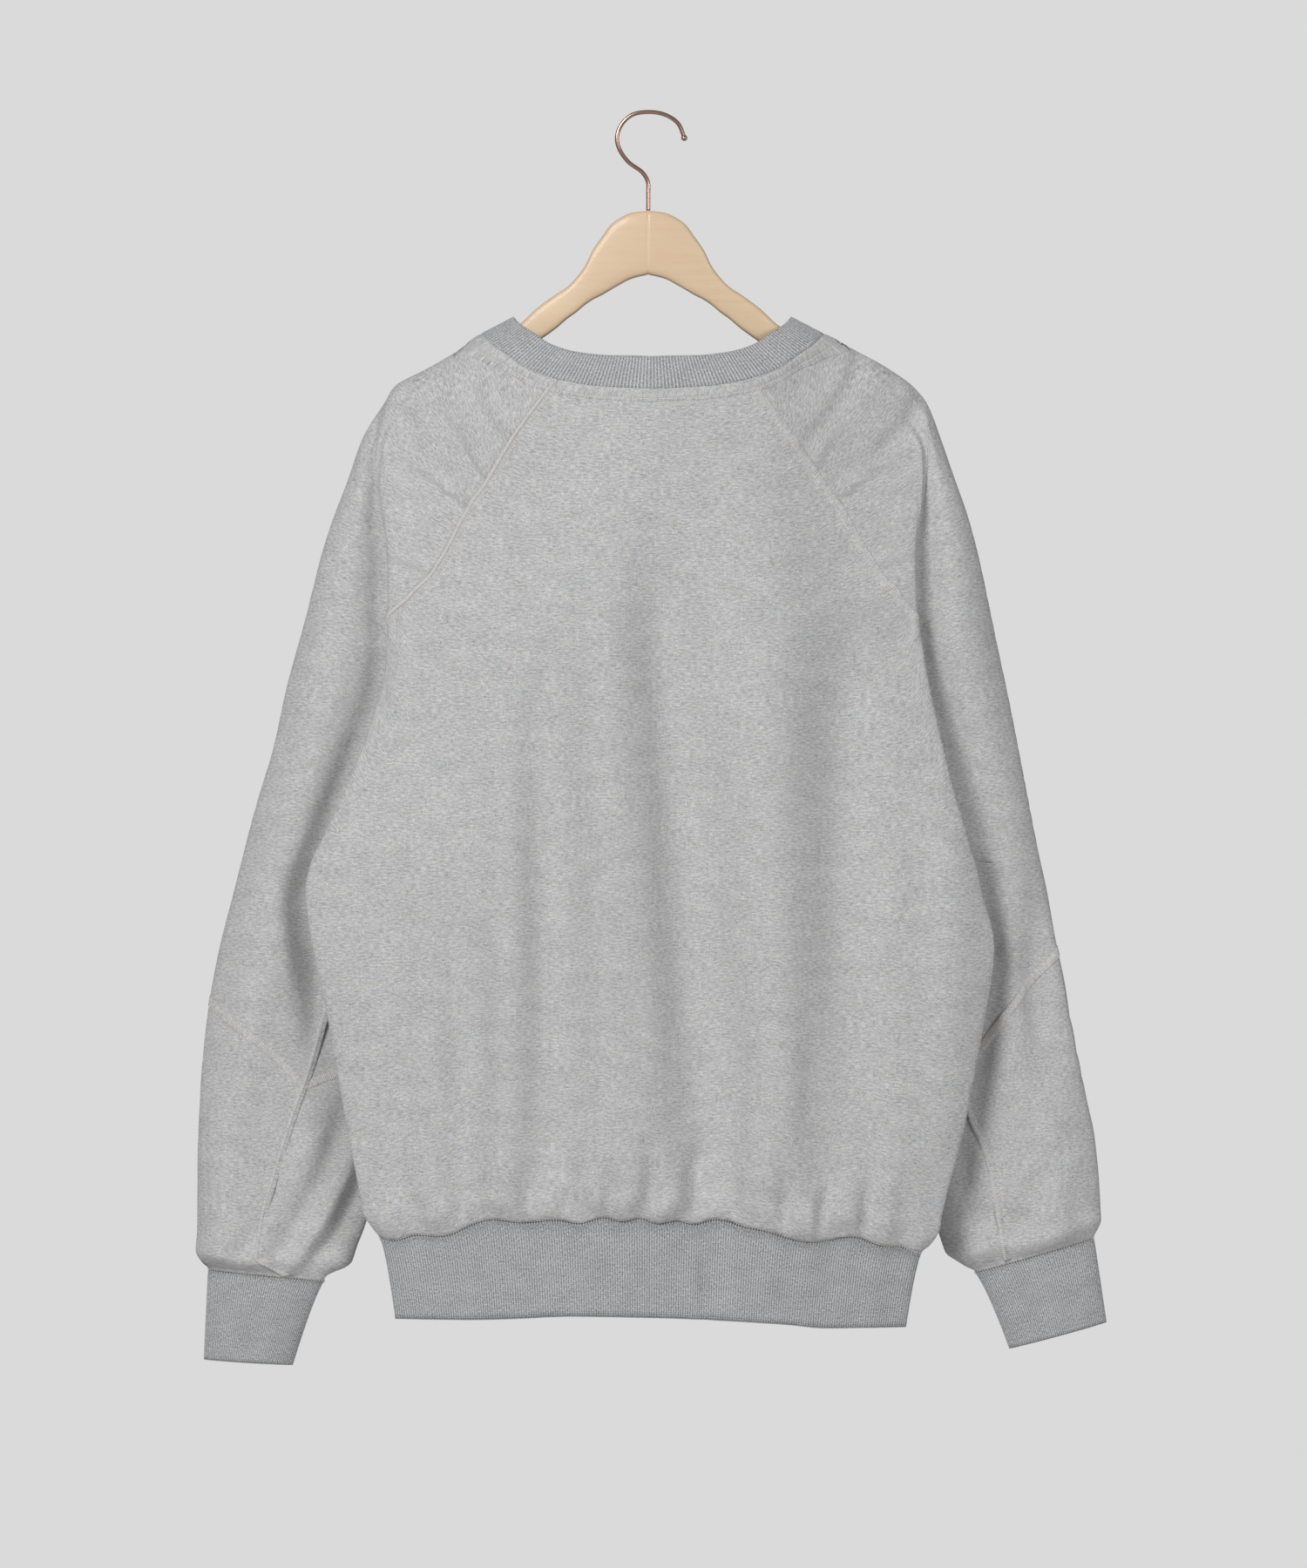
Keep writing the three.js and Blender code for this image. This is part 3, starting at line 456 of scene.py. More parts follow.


# Creases: soft troughs, each from one place to another, bowed a little.
# A negative depth is a ridge. The first column only numbers them.

creaseColumns = "n x0 down0 x1 down1 bow width depth"
yokeCreases = table(creaseColumns, [
    (0, -154, 255, -130, 294, 3, 4, 2.4), (1, -126, 198, -108, 234, -3, 5, 2.6),
    (2, -180, 217, -167, 236, 2, 4, 2.0), (3, 154, 172, 117, 236, 6, 6, 3.0),
    (4, 198, 202, 166, 246, 4, 6, 2.8), (5, -200, 219, -201, 300, 0, 5, 3.0),
    (6, -186, 236, -184, 400, 2, 8, -1.8), (7, 212, 400, 216, 740, 4, 18, -5.0),
    (8, -40, 300, -36, 790, 4, 18, -4.5), (9, 22, 310, 62, 800, 0, 32, 6.0),
    (10, -60, 410, -58, 790, -3, 26, 4.5), (11, -98, 400, -97, 780, 3, 18, -3.5),
    (12, 152, 350, 154, 720, 3, 26, 4.5), (13, 86, 330, 92, 760, -3, 24, -4.0),
    (14, -122, 500, -120, 790, -2, 20, 4.0), (15, -157, 560, -155, 780, 2, 15, -3.5),
    (16, -10, 290, 2, 790, 2, 18, -4.0), (17, 176, 420, 182, 760, -3, 18, -3.0),
    (18, -24, 560, -14, 700, 3, 9, 1.2), (19, 66, 600, 62, 760, -2, 11, 1.8),
    (20, 116, 640, 112, 780, 2, 10, 2.0), (21, -180, 600, -178, 760, 3, 14, 3.0),
])
creaseSets = {
    "back": (-1, yokeCreases),
    "hem": (-1, table(creaseColumns, [
        (0, -156, 760, -150, 806, 2, 10, -2.4), (1, -136, 780, -131, 806, -2, 5, 3.2),
        (2, -112, 748, -117, 804, 4, 13, -3.2), (3, -91, 774, -87, 804, 2, 6, 3.6),
        (4, -74, 764, -71, 802, 3, 9, -2.0), (5, -57, 778, -58, 802, -2, 4, 2.6),
        (6, -44, 758, -43, 802, 2, 9, -2.2), (7, -28, 768, -31, 802, 3, 5, 2.8),
        (8, -13, 774, -15, 802, -2, 7, -2.2), (9, 1, 748, -2, 803, 3, 6, 3.4),
        (10, 18, 762, 19, 803, 2, 10, -2.6), (11, 40, 744, 36, 803, -4, 7, 3.6),
        (12, 51, 778, 52, 804, 2, 5, -1.8), (13, 63, 772, 59, 804, 2, 4, 2.2),
        (14, 78, 746, 80, 807, -3, 14, -3.2), (15, 97, 776, 94, 812, 2, 5, 3.2),
        (16, 112, 756, 108, 815, 3, 10, -2.4), (17, 128, 780, 124, 815, -2, 4, 2.6),
        (18, 143, 752, 139, 816, 2, 12, -3.2), (19, 158, 782, 153, 818, 2, 5, 2.8),
        (20, 174, 760, 169, 820, 2, 9, -2.4), (21, -172, 778, -169, 813, 2, 5, 2.6),
    ])),
    "arms": (-1, table(creaseColumns, [
        (0, -219, 716, -276, 836, 6, 8, 4.5), (1, -207, 770, -254, 842, 5, 7, 3.6),
        (2, -248, 600, -230, 668, 8, 16, 3.5), (3, 280, 570, 288, 690, -4, 15, 6.0),
        (4, 244, 800, 284, 812, 4, 9, 2.6), (5, -232, 300, -262, 500, 6, 16, -4.5),
        (6, -270, 500, -300, 720, 4, 22, -4.5), (7, 234, 300, 262, 500, -6, 18, -4.0),
        (8, 300, 560, 308, 700, -2, 12, -2.5), (9, -194, 236, -195, 400, 0, 15, 8.0),
        (10, 197, 230, 199, 380, 0, 14, 9.0), (11, 201, 390, 246, 560, 0, 15, 9.0),
        (18, -195, 410, -251, 565, 0, 14, 9.0), (19, 248, 575, 252, 630, 0, 12, 6.0),
        (20, -249, 575, -238, 650, 0, 12, 5.0), (21, 251, 640, 234, 720, 0, 11, 4.0),
        (12, -206, 732, -262, 840, 5, 6, -2.2), (13, 228, 740, 238, 800, -3, 9, 3.0),
        (14, -300, 752, -262, 800, 4, 9, 1.8), (15, 300, 752, 268, 812, -4, 9, 2.0),
        (16, -288, 812, -304, 830, 2, 6, 1.8), (17, 304, 790, 318, 806, 2, 6, 1.8),
    ])),
    "far": (1, table(creaseColumns, [
        (0, -150, 220, -110, 300, 8, 10, 2.2), (1, 160, 215, 118, 310, -8, 11, 2.4),
        (2, -230, 600, -290, 690, 8, 14, 3.0), (3, 250, 640, 300, 720, -8, 14, 3.0),
        (4, -246, 760, -300, 800, 6, 9, 3.0), (5, 252, 744, 304, 792, -6, 9, 2.6),
        (6, -128, 764, -132, 800, 2, 7, -2.6), (7, -84, 768, -80, 800, 2, 6, 2.6),
        (8, -30, 760, -34, 800, -3, 8, -2.8), (9, 26, 770, 24, 800, 2, 6, 2.4),
        (10, 70, 764, 74, 802, 2, 8, -2.8), (11, 116, 772, 112, 806, -2, 6, 2.6),
    ])),
}
cloth = {"uneven": 0.55}    # height of the slight unevenness all over the fleece


def creaseLift(creases, x, down):
    lift = 0 * x
    for row in range(len(creases["n"])):
        x0, down0, x1, down1 = (creases[c][row] for c in ("x0", "down0", "x1", "down1"))
        long = math.hypot(x1 - x0, down1 - down0)
        wayX = (x1 - x0) / long
        wayDown = (down1 - down0) / long
        along = ((x - x0) * wayX + (down - down0) * wayDown) / long
        held = np.clip(along, 0, 1)
        past = (along - held) * long
        bow = creases["bow"][row] * 4 * held * (1 - held)
        across = (x - x0) * wayDown - (down - down0) * wayX - bow
        width = creases["width"][row]
        trough = np.exp(-((across / width) ** 2))
        banks = 0.3 * np.exp(-(((np.abs(across) - 1.8 * width) / width) ** 2))
        fade = np.exp(-((past / (1.5 * width)) ** 2)) * (0.45 + 0.55 * np.sin(np.pi * held))
        lift = lift + creases["depth"][row] * fade * (banks - trough)
    return lift


def unevenness(x, down):
    waves = np.sin(x / 31 + 1.3 * np.sin(down / 57)) * np.sin(down / 43 + 0.8 * np.sin(x / 38))
    waves = waves + 0.6 * np.sin(x / 17 - down / 29 + 2) * np.sin(down / 61 + x / 90)
    return cloth["uneven"] * waves


# The fleece puffs out unevenly just above the ribbed bands.
def puffs(x):
    return 1.5 + 0.8 * np.sin(x / 7.5 + 1.7 * np.sin(x / 33)) + 0.5 * np.sin(x / 16 + 1)


# The finished outer surface at lines and levels, with the direction out of it.
def surface(pointAt, line, at, hand, sets):
    point = pointAt(line, at)
    across = pointAt(line + 0.02, at) - pointAt(line - 0.02, at)
    along = pointAt(line, at + 0.004) - pointAt(line, at - 0.004)
    normal = unit(np.cross(along, across)) * hand
    x = point[..., 0]
    down = -point[..., 2]
    lift = unevenness(x, down) * ease(at, 0, 0.1) * (1 - ease(at, 1.9, 2))
    for name in sets:
        facing, creases = creaseSets[name]
        share = ease(facing * normal[..., 1], 0.05, 0.5)
        if name == "arms":
            share = share * ease(line, 4.75, 5.4)
        lift = lift + share * creaseLift(creases, x, down)
    lift = lift * (1 - 0.55 * ease(at, 1.94, 1.995))
    lift = lift + puffs(x) * ease(at, 1.90, 1.97) * (1 - ease(at, 1.978, 2.0))
    return point + normal * lift[..., None], normal


# Meshes

def shellFaces(rows, columns, closed, hand):
    grid = np.arange(rows * columns).reshape(rows, columns)
    if closed:
        grid = np.concatenate([grid, grid[:, :1]], axis=1)
    wall = grid + rows * columns

    def quads(a, b, c, d):
        return np.stack([a, b, c, d], -1).reshape(-1, 4)

    faces = [
        quads(grid[:-1, :-1], grid[1:, :-1], grid[1:, 1:], grid[:-1, 1:]),
        quads(wall[:-1, :-1], wall[:-1, 1:], wall[1:, 1:], wall[1:, :-1]),
        quads(grid[0, :-1], grid[0, 1:], wall[0, 1:], wall[0, :-1]),
        quads(grid[-1, :-1], wall[-1, :-1], wall[-1, 1:], grid[-1, 1:]),
    ]
    if not closed:
        faces.append(quads(grid[:-1, 0], wall[:-1, 0], wall[1:, 0], grid[1:, 0]))
        faces.append(quads(grid[:-1, -1], grid[1:, -1], wall[1:, -1], wall[:-1, -1]))
    faces = np.concatenate(faces)
    return faces[:, ::-1] if hand < 0 else faces


# A mesh object in metres from points in millimetres, with a map of the cloth's grain.
def pieceFrom(name, points, faces, finish, grain=None, values=None):
    places = (points.reshape(-1, 3) - [0, garment["hangerFront"], 0]) * mm
    mesh = bpy.data.meshes.new(name)
    mesh.from_pydata(places.tolist(), [], faces if isinstance(faces, list) else faces.tolist())
    mesh.polygons.foreach_set("use_smooth", np.ones(len(mesh.polygons), bool))
    if grain is not None:
        corners = np.zeros(len(mesh.loops), int)
        mesh.loops.foreach_get("vertex_index", corners)
        layer = mesh.uv_layers.new(name="grain")
        layer.uv.foreach_set("vector", grain.reshape(-1, 2)[corners].ravel() * mm)
    for key, value in (values or {}).items():
        attribute = mesh.attributes.new(key, "FLOAT", "POINT")
        attribute.data.foreach_set("value", np.ravel(value).astype(np.float32))
    mesh.materials.append(finish)
    mesh.update()
    piece = bpy.data.objects.new(name, mesh)
    scene.collection.objects.link(piece)
    return piece


# Millimetres across the cloth from its middle column, and down it from its first row.
def grainOf(points):
    steps = np.linalg.norm(np.diff(points, axis=1), axis=-1)
    across = np.concatenate([np.zeros((len(points), 1)), np.cumsum(steps, axis=1)], axis=1)
    middle = points.shape[1] // 2
    drops = np.linalg.norm(np.diff(points[:, middle], axis=0), axis=-1)
    down = np.concatenate([[0], np.cumsum(drops)])
    return np.stack(np.broadcast_arrays(across - across[:, middle:middle + 1], down[:, None]), -1)


# On a sleeve the cloth's courses lie across its length, which starts at the neck.
sleeveRun = {"out": (95, 150, 190, 222, 250, 268, 280, 292),
             "down": (190, 205, 240, 310, 420, 560, 700, 850)}


def sleeveGrain(points):
    grain = np.array(grainOf(points))
    count = 240
    keys = np.linspace(0, 1, len(sleeveRun["out"]))
    fine = np.linspace(0, 1, count)
    run = np.stack([np.interp(fine, keys, sleeveRun[key]) for key in ("out", "down")], -1)
    run[1:-1] = (run[:-2] + run[1:-1] + run[2:]) / 3
    sums = np.concatenate([[0], np.cumsum(np.linalg.norm(np.diff(run, axis=0), axis=-1))])
    for row in range(len(points)):
        here = np.stack([np.abs(points[row, :, 0]), -points[row, :, 2]], -1)
        gaps = np.sum((here[:, None, :] - run[None, :, :]) ** 2, axis=-1)
        nearest = np.argmin(gaps, axis=1)
        ahead = run[np.minimum(nearest + 3, count - 1)] - run[np.maximum(nearest - 3, 0)]
        way = unit(ahead)
        grain[row, :, 1] = sums[nearest] + np.sum((here - run[nearest]) * way, axis=-1)
    return grain


# Lines across a row, spread by its length with some more of them where it bends.
def spread(pointAt, at, start, end, count):
    share = np.linspace(0, 1, 121)[None, :]
    lines = mix(start[:, None], end[:, None], share)
    points = pointAt(lines, np.broadcast_to(at[:, None], lines.shape))
    steps = np.linalg.norm(np.diff(points, axis=1), axis=-1)
    steps = steps + 16 * np.abs(end - start)[:, None] / 120
    sums = np.concatenate([np.zeros((len(at), 1)), np.cumsum(steps, axis=1)], axis=1)
    wanted = np.linspace(0, 1, count + 1)
    return np.array([np.interp(wanted * s[-1], s, l) for s, l in zip(sums, lines)])


# Draws the outer rows in by half a seam gap.
def parted(points):
    half = garment["seamGap"] / 2
    for edge, inside in ((0, 1), (-1, -2)):
        points[edge] += half * unit(points[inside] - points[edge])
        points[:, edge] += half * unit(points[:, inside] - points[:, edge])
    return points


# A cut panel of fleece on its lines and levels, with the wall behind it.
def panel(name, pointAt, levels, sides, columns, hand, sets, finish, grainFrom=grainOf):
    shares = np.linspace(0, 1, columns + 1)
    middle = levels(np.full(1, 0.5))[:, 0]
    start, end = sides(middle)
    lines = spread(pointAt, middle, start, end, columns)
    at = levels(shares)
    points, normals = surface(pointAt, lines, at, hand, sets)
    points = parted(points)
    inner = points - normals * garment["wall"]
    faces = shellFaces(len(at), columns + 1, False, hand)
    grain = grainFrom(points)
    both = np.concatenate([points.reshape(-1, 3), inner.reshape(-1, 3)])
    piece = pieceFrom(name, both, faces, finish, np.concatenate([grain, grain]))
    print(name, "cut,", len(faces) * 2, "triangles")
    return piece


# Shader maths

class Number:    # a shader socket that can be added to, multiplied and compared
    def __init__(self, finish, socket):
        self.finish = finish
        self.socket = socket

    def math(self, operation, *others, clamp=False):
        values = [self.socket, *(o.socket if isinstance(o, Number) else o for o in others)]
        settings = {"operation": operation, "use_clamp": clamp}
        return self.finish.node("ShaderNodeMath", settings, values)

    def __add__(self, other):
        return self.math("ADD", other)

    def __sub__(self, other):
        return self.math("SUBTRACT", other)

    def __mul__(self, other):
        return self.math("MULTIPLY", other)

    def clamp(self):
        return self.math("ADD", 0.0, clamp=True)


class Finish:    # a material with one principled shader
    def __init__(self, name, roughness, metallic=0.0, sheen=0.0, coat=0.0):
        self.material = bpy.data.materials.new(name)
        self.material.use_nodes = True
        self.tree = self.material.node_tree
        self.shader = self.tree.nodes["Principled BSDF"]
        self.shader.inputs["Roughness"].default_value = roughness
        self.shader.inputs["Metallic"].default_value = metallic
        self.shader.inputs["Sheen Weight"].default_value = sheen
        self.shader.inputs["Coat Weight"].default_value = coat

    # Any node: its settings first, then the values or links of its sockets.
    def node(self, kind, settings, values, output=0):
        made = self.tree.nodes.new(kind)
        for key, value in settings.items():
            setattr(made, key, value)
        pairs = values.items() if isinstance(values, dict) else enumerate(values)
        for key, value in pairs:
            self.feed(made.inputs[key], value)
        return Number(self, made.outputs[output])

    def feed(self, socket, value):
        value = value.socket if isinstance(value, Number) else value
        if isinstance(value, bpy.types.NodeSocket):
            self.tree.links.new(value, socket)
        else:
            socket.default_value = value

    def grain(self):
        return self.node("ShaderNodeUVMap", {"uv_map": "grain"}, {})

    def place(self):
        return self.node("ShaderNodeTexCoord", {}, {}, "Object")

    def scaled(self, place, sizes):
        values = [place, sizes]
        return self.node("ShaderNodeVectorMath", {"operation": "MULTIPLY"}, values)

    def noise(self, place, sizes, detail=2.0, rough=0.5):
        values = {"Vector": self.scaled(place, sizes), "Scale": 1.0, "Detail": detail,
                  "Roughness": rough}
        return self.node("ShaderNodeTexNoise", {"noise_dimensions": "3D"}, values)

    def blend(self, share, first, second):
        settings = {"data_type": "RGBA"}
        values = {"Factor": share.clamp(), 6: first, 7: second}
        return self.node("ShaderNodeMix", settings, values, 2)

    def times(self, first, second):
        settings = {"data_type": "RGBA", "blend_type": "MULTIPLY"}
        return self.node("ShaderNodeMix", settings, {"Factor": 1.0, 6: first, 7: second}, 2)

    def parts(self, place):
        split = self.node("ShaderNodeSeparateXYZ", {}, [place])
        return split, Number(self, split.socket.node.outputs["Y"])

    def bump(self, height, depth):
        values = {"Height": height, "Distance": depth, "Strength": 1.0}
        self.feed(self.shader.inputs["Normal"], self.node("ShaderNodeBump", {}, values))

    def colour(self, value):
        self.feed(self.shader.inputs["Base Color"], value)


def grey(level, warm=0.0):
    return (level + warm, level, level - warm, 1.0)


# Heather: light and dark fibres in short streaks along the courses.
def fleeceFinish():
    look = {"light": 0.78, "dark": 0.30, "wale": 1.25 * mm}
    finish = Finish("fleece", 0.95, sheen=0.15)
    grain = finish.grain()
    streaks = finish.noise(grain, (230, 860, 1), 3.0, 0.68)
    specks = finish.noise(grain, (700, 1700, 1), 2.0, 0.6)
    cloud = finish.noise(grain, (45, 90, 1), 2.0)
    tint = finish.noise(grain, (230, 400, 1), 2.0)
    share = (streaks - 0.5) * 1.8 + (specks - 0.5) * 1.3 + (cloud - 0.5) * 0.35 + 0.5
    body = finish.blend(share, grey(look["dark"], -0.004), grey(look["light"], 0.002))
    warm = finish.blend((tint - 0.5) * 3 + 0.5, (0.97, 0.99, 1.02, 1), (1.03, 1.0, 0.965, 1))
    finish.colour(finish.times(body, warm))
    across, down = finish.parts(grain)
    wales = (across * (2 * math.pi / look["wale"])).math("SINE")
    fuzz = finish.noise(grain, (900, 1400, 1), 3.0, 0.7)
    finish.bump(fuzz * 0.7 + streaks * 0.9 + wales * 0.07, 0.45 * mm)
    return finish.material


# Rib knit: its channels are darkened with painted shade, and each rib is beaded, in bumps and in
# painted shade on its loops.
def ribFinish():
    look = {"light": 0.66, "dark": 0.20, "bead": 1.5 * mm}
    finish = Finish("ribKnit", 0.95, sheen=0.12)
    grain = finish.grain()
    fibres = finish.noise(grain, (1250, 640, 1), 3.0, 0.65)
    cloud = finish.noise(grain, (60, 80, 1), 2.0)
    across, down = finish.parts(grain)
    height = finish.node("ShaderNodeAttribute", {"attribute_name": "ribTop"}, {}, "Fac")
    beads = (down * (2 * math.pi / look["bead"])).math("SINE")
    # The fibre and cloud noise are the yarn's own tone; the height term is painted shade in the
    # channels, and the bead term is painted shade along the loops.
    share = (fibres - 0.5) * 2.5 + (cloud - 0.5) * 0.3 + height * 0.7 + height * beads * 0.1
    body = finish.blend(share + 0.12, grey(look["dark"], -0.006), grey(look["light"], -0.004))
    finish.colour(body)
    finish.bump(fibres * 0.8 + height * beads * 0.35, 0.3 * mm)
    return finish.material


def threadFinish():
    finish = Finish("thread", 0.8, sheen=0.2)
    strands = finish.noise(finish.place(), (900, 900, 900), 2.0)
    finish.colour(finish.blend(strands, (0.70, 0.665, 0.64, 1), (0.86, 0.825, 0.80, 1)))
    return finish.material


def beechFinish():
    finish = Finish("beech", 0.42, coat=0.12)
    place = finish.place()
    fleck = finish.noise(place, (90, 60, 900), 3.0, 0.6)
    rings = finish.noise(place, (9, 12, 220), 2.0)
    share = (fleck - 0.5) * 0.5 + (rings - 0.5) * 0.9 + 0.5
    finish.colour(finish.blend(share, (0.70, 0.505, 0.32, 1), (0.80, 0.61, 0.415, 1)))
    finish.bump(fleck, 0.08 * mm)
    return finish.material


def copperFinish():
    finish = Finish("hookMetal", 0.28, metallic=1.0)
    wear = finish.noise(finish.place(), (220, 220, 220), 2.0)
    finish.colour(finish.blend(wear, (0.50, 0.30, 0.23, 1), (0.66, 0.44, 0.35, 1)))
    return finish.material


fleece = fleeceFinish()
ribKnit = ribFinish()
thread = threadFinish()
beech = beechFinish()
copper = copperFinish()
print("finishes ready")


# Fleece panels

panelRows = {"yoke": 110, "body": 90, "arm": 60, "forearm": 100}


def steady(values):
    return lambda shares: np.broadcast_to(values[:, None], (len(values), len(shares)))


def bothSides(column, middle=0):
    def sides(at):
        reach = np.abs(middle - read(seamLine, column, np.minimum(at, 1.0)))
        return -reach, reach
    return sides


yokeLevels = np.linspace(0, 1, panelRows["yoke"]) ** 1.15
bodyLevels = np.linspace(1, 2, panelRows["body"] + 1)[1:]
fullLevels = steady(np.concatenate([yokeLevels, bodyLevels]))


def upperSleeve(side):
    def levels(shares):
        part = np.linspace(0, 1, panelRows["arm"] + 1)[1:, None]
        arm = mix(1.0, elbowLevel(side, shares)[None, :], part)
        yoke = np.broadcast_to(yokeLevels[:, None], (len(yokeLevels), len(shares)))
        return np.concatenate([yoke, arm])

    def sides(at):
        held = np.minimum(at, 1.0)
        return read(seamLine, "back", held), read(seamLine, "front", held)

    return panel(
        sideNames[side] + "UpperSleeve", lambda line, at: sleevePoint(side, line, at),
        levels, sides, 120, side, ["back", "arms", "far"], fleece, sleeveGrain)


def forearm(side):
    def levels(shares):
        part = np.linspace(0, 1, panelRows["forearm"] + 1)[:, None]
        return mix(elbowLevel(side, shares)[None, :], 2.0, part)

    def sides(at):
        return np.full(len(at), 5.0), np.full(len(at), 12.0)

    return panel(
        sideNames[side] + "Forearm", lambda line, at: sleevePoint(side, line, at),
        levels, sides, 110, side, ["arms", "far"], fleece, sleeveGrain)


def finishPiece(piece, nodes=()):
    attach(piece, "root")
    if nodes:
        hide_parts(*nodes)


back = panel("backCloth", backPoint, fullLevels, bothSides("back"), 220, 1, ["back", "hem"], fleece)
front = panel("frontCloth", frontPoint, fullLevels, bothSides("front", 15), 110, 1, ["far"], fleece)
sleeves = {side: upperSleeve(side) for side in (-1, 1)}
forearms = {side: forearm(side) for side in (-1, 1)}


# Ribbed bands

ribbing = {"neckPitch": 2.4, "hemPitch": 1.75, "height": 0.55, "perRib": 4}


# A new tree of geometry nodes that takes a mesh and named numbers, and gives a mesh back.
def newTree(name, inputs):
    tree = bpy.data.node_groups.new(name, "GeometryNodeTree")
    face = tree.interface
    face.new_socket("Geometry", in_out="INPUT", socket_type="NodeSocketGeometry")
    sockets = [face.new_socket(n, in_out="INPUT", socket_type="NodeSocketFloat") for n in inputs]
    face.new_socket("Geometry", in_out="OUTPUT", socket_type="NodeSocketGeometry")

    def add(kind, **settings):
        made = tree.nodes.new(kind)
        for key, value in settings.items():
            setattr(made, key, value)
        return made

    def link(source, target):
        tree.links.new(source, target)

    return tree, [socket.identifier for socket in sockets], add, link


# Raises ribs on a band from two of its values: ribTurn counts ribs, and ribShow says where.
def ribTree(finish):
    tree, names, add, link = newTree("raisedRibs", ["Rib height"])
    start = add("NodeGroupInput")
    end = add("NodeGroupOutput")
    turn = add("GeometryNodeInputNamedAttribute", data_type="FLOAT")
    turn.inputs["Name"].default_value = "ribTurn"
    show = add("GeometryNodeInputNamedAttribute", data_type="FLOAT")
    show.inputs["Name"].default_value = "ribShow"
    angle = add("ShaderNodeMath", operation="MULTIPLY")
    angle.inputs[1].default_value = 2 * math.pi
    link(turn.outputs["Attribute"], angle.inputs[0])
    wave = add("ShaderNodeMath", operation="COSINE")
    link(angle.outputs[0], wave.inputs[0])
    top = add("ShaderNodeMath", operation="MULTIPLY_ADD")
    top.inputs[1].default_value = 0.5
    top.inputs[2].default_value = 0.5
    link(wave.outputs[0], top.inputs[0])
    shown = add("ShaderNodeMath", operation="MULTIPLY")
    link(top.outputs[0], shown.inputs[0])
    link(show.outputs["Attribute"], shown.inputs[1])
    lift = add("ShaderNodeMath", operation="MULTIPLY")
    link(shown.outputs[0], lift.inputs[0])
    link(start.outputs["Rib height"], lift.inputs[1])
    normal = add("GeometryNodeInputNormal")
    shift = add("ShaderNodeVectorMath", operation="SCALE")
    link(normal.outputs[0], shift.inputs[0])
    link(lift.outputs[0], shift.inputs["Scale"])
    # ribTop keeps each rib's height, which the rib finish uses for a bump and for painted shade in
    # the channels.
    store = add("GeometryNodeStoreNamedAttribute", data_type="FLOAT", domain="POINT")
    store.inputs["Name"].default_value = "ribTop"
    link(start.outputs["Geometry"], store.inputs["Geometry"])
    link(shown.outputs[0], store.inputs["Value"])
    place = add("GeometryNodeSetPosition")
    link(store.outputs["Geometry"], place.inputs["Geometry"])
    link(shift.outputs[0], place.inputs["Offset"])
    real = add("GeometryNodeRealizeInstances")
    link(place.outputs["Geometry"], real.inputs["Geometry"])
    material = add("GeometryNodeSetMaterial")
    material.inputs["Material"].default_value = finish
    link(real.outputs["Geometry"], material.inputs["Geometry"])
    link(material.outputs["Geometry"], end.inputs["Geometry"])
    return tree, names[0]


# Runs a tree on a piece and leaves the result as its plain mesh.
def grown(piece, tree, inputs):
    modifier = piece.modifiers.new("grown", "NODES")
    modifier.node_group = tree
    for identifier, value in inputs.items():
        modifier[identifier] = value
    bpy.context.view_layer.update()
    graph = bpy.context.evaluated_depsgraph_get()
    mesh = bpy.data.meshes.new_from_object(piece.evaluated_get(graph))
    piece.modifiers.remove(modifier)
    piece.data = mesh
    return piece


ribbedTree, ribHeightInput = ribTree(ribKnit)


def ribbedBand(name, ringAt, length, pitch, rows, fadeTop=0.0):
    ribs = round(length / pitch)
    columns = ribs * ribbing["perRib"]
    fine = np.linspace(0, 1, 2401)
    around = np.linalg.norm(np.diff(ringAt(fine, np.full(2401, 0.5)), axis=0), axis=-1)
    sums = np.concatenate([[0], np.cumsum(around)])
    even = np.arange(columns) / columns
    turn = np.interp(even * sums[-1], sums, fine)[None, :]
    share = np.linspace(0, 1, rows)[:, None]
    turn, share = np.broadcast_arrays(turn, share)
    points = ringAt(turn, share)
    across = ringAt(turn + 0.002, share) - ringAt(turn - 0.002, share)
    along = ringAt(turn, share + 0.02) - ringAt(turn, share - 0.02)
    normals = unit(np.cross(along, across))
    inner = points - normals * garment["ribWall"]
    faces = shellFaces(rows, columns, True, 1)
    steps = np.linalg.norm(points[1:, 0] - points[:-1, 0], axis=-1)
    down = np.broadcast_to(np.concatenate([[0], np.cumsum(steps)])[:, None], turn.shape)
    ribTurn = np.broadcast_to(even * ribs, turn.shape)
    grain = np.stack([ribTurn * pitch, down], -1)
    show = ease(share, 0, fadeTop) if fadeTop else np.ones(share.shape)
    values = {
        "ribTurn": np.concatenate([ribTurn, ribTurn]),
        "ribShow": np.concatenate([show, 0 * show]),
    }
    both = np.concatenate([points.reshape(-1, 3), inner.reshape(-1, 3)])
    piece = pieceFrom(name, both, faces, ribKnit, np.concatenate([grain, grain]), values)
    grown(piece, ribbedTree, {ribHeightInput: ribbing["height"] * mm})
    print(name, "ribbed,", ribs, "ribs")
    return piece


def neckRingAt(place, share):
    turn = np.mod(place, 1)
    side = np.where(turn <= 0.5, 1, -1)
    angle = 360 * np.where(turn <= 0.5, turn, 1 - turn)
    rise = (1 - share) * garment["neckRibHeight"] + garment["seamGap"]
    return neckRibPoint(side, angle, rise)


def hemRingAt(place, share):
    point = hemPoint(16 * place, share)
    point[..., 2] -= hemGap * (1 - share)
    return point


def cuffRingAt(side):
    def ringAt(place, share):
        point = cuffPoint(side, -side * 360 * place, share)
        point[..., 2] -= garment["seamGap"] * (1 - share)
        return point
    return ringAt


# Seams and threads


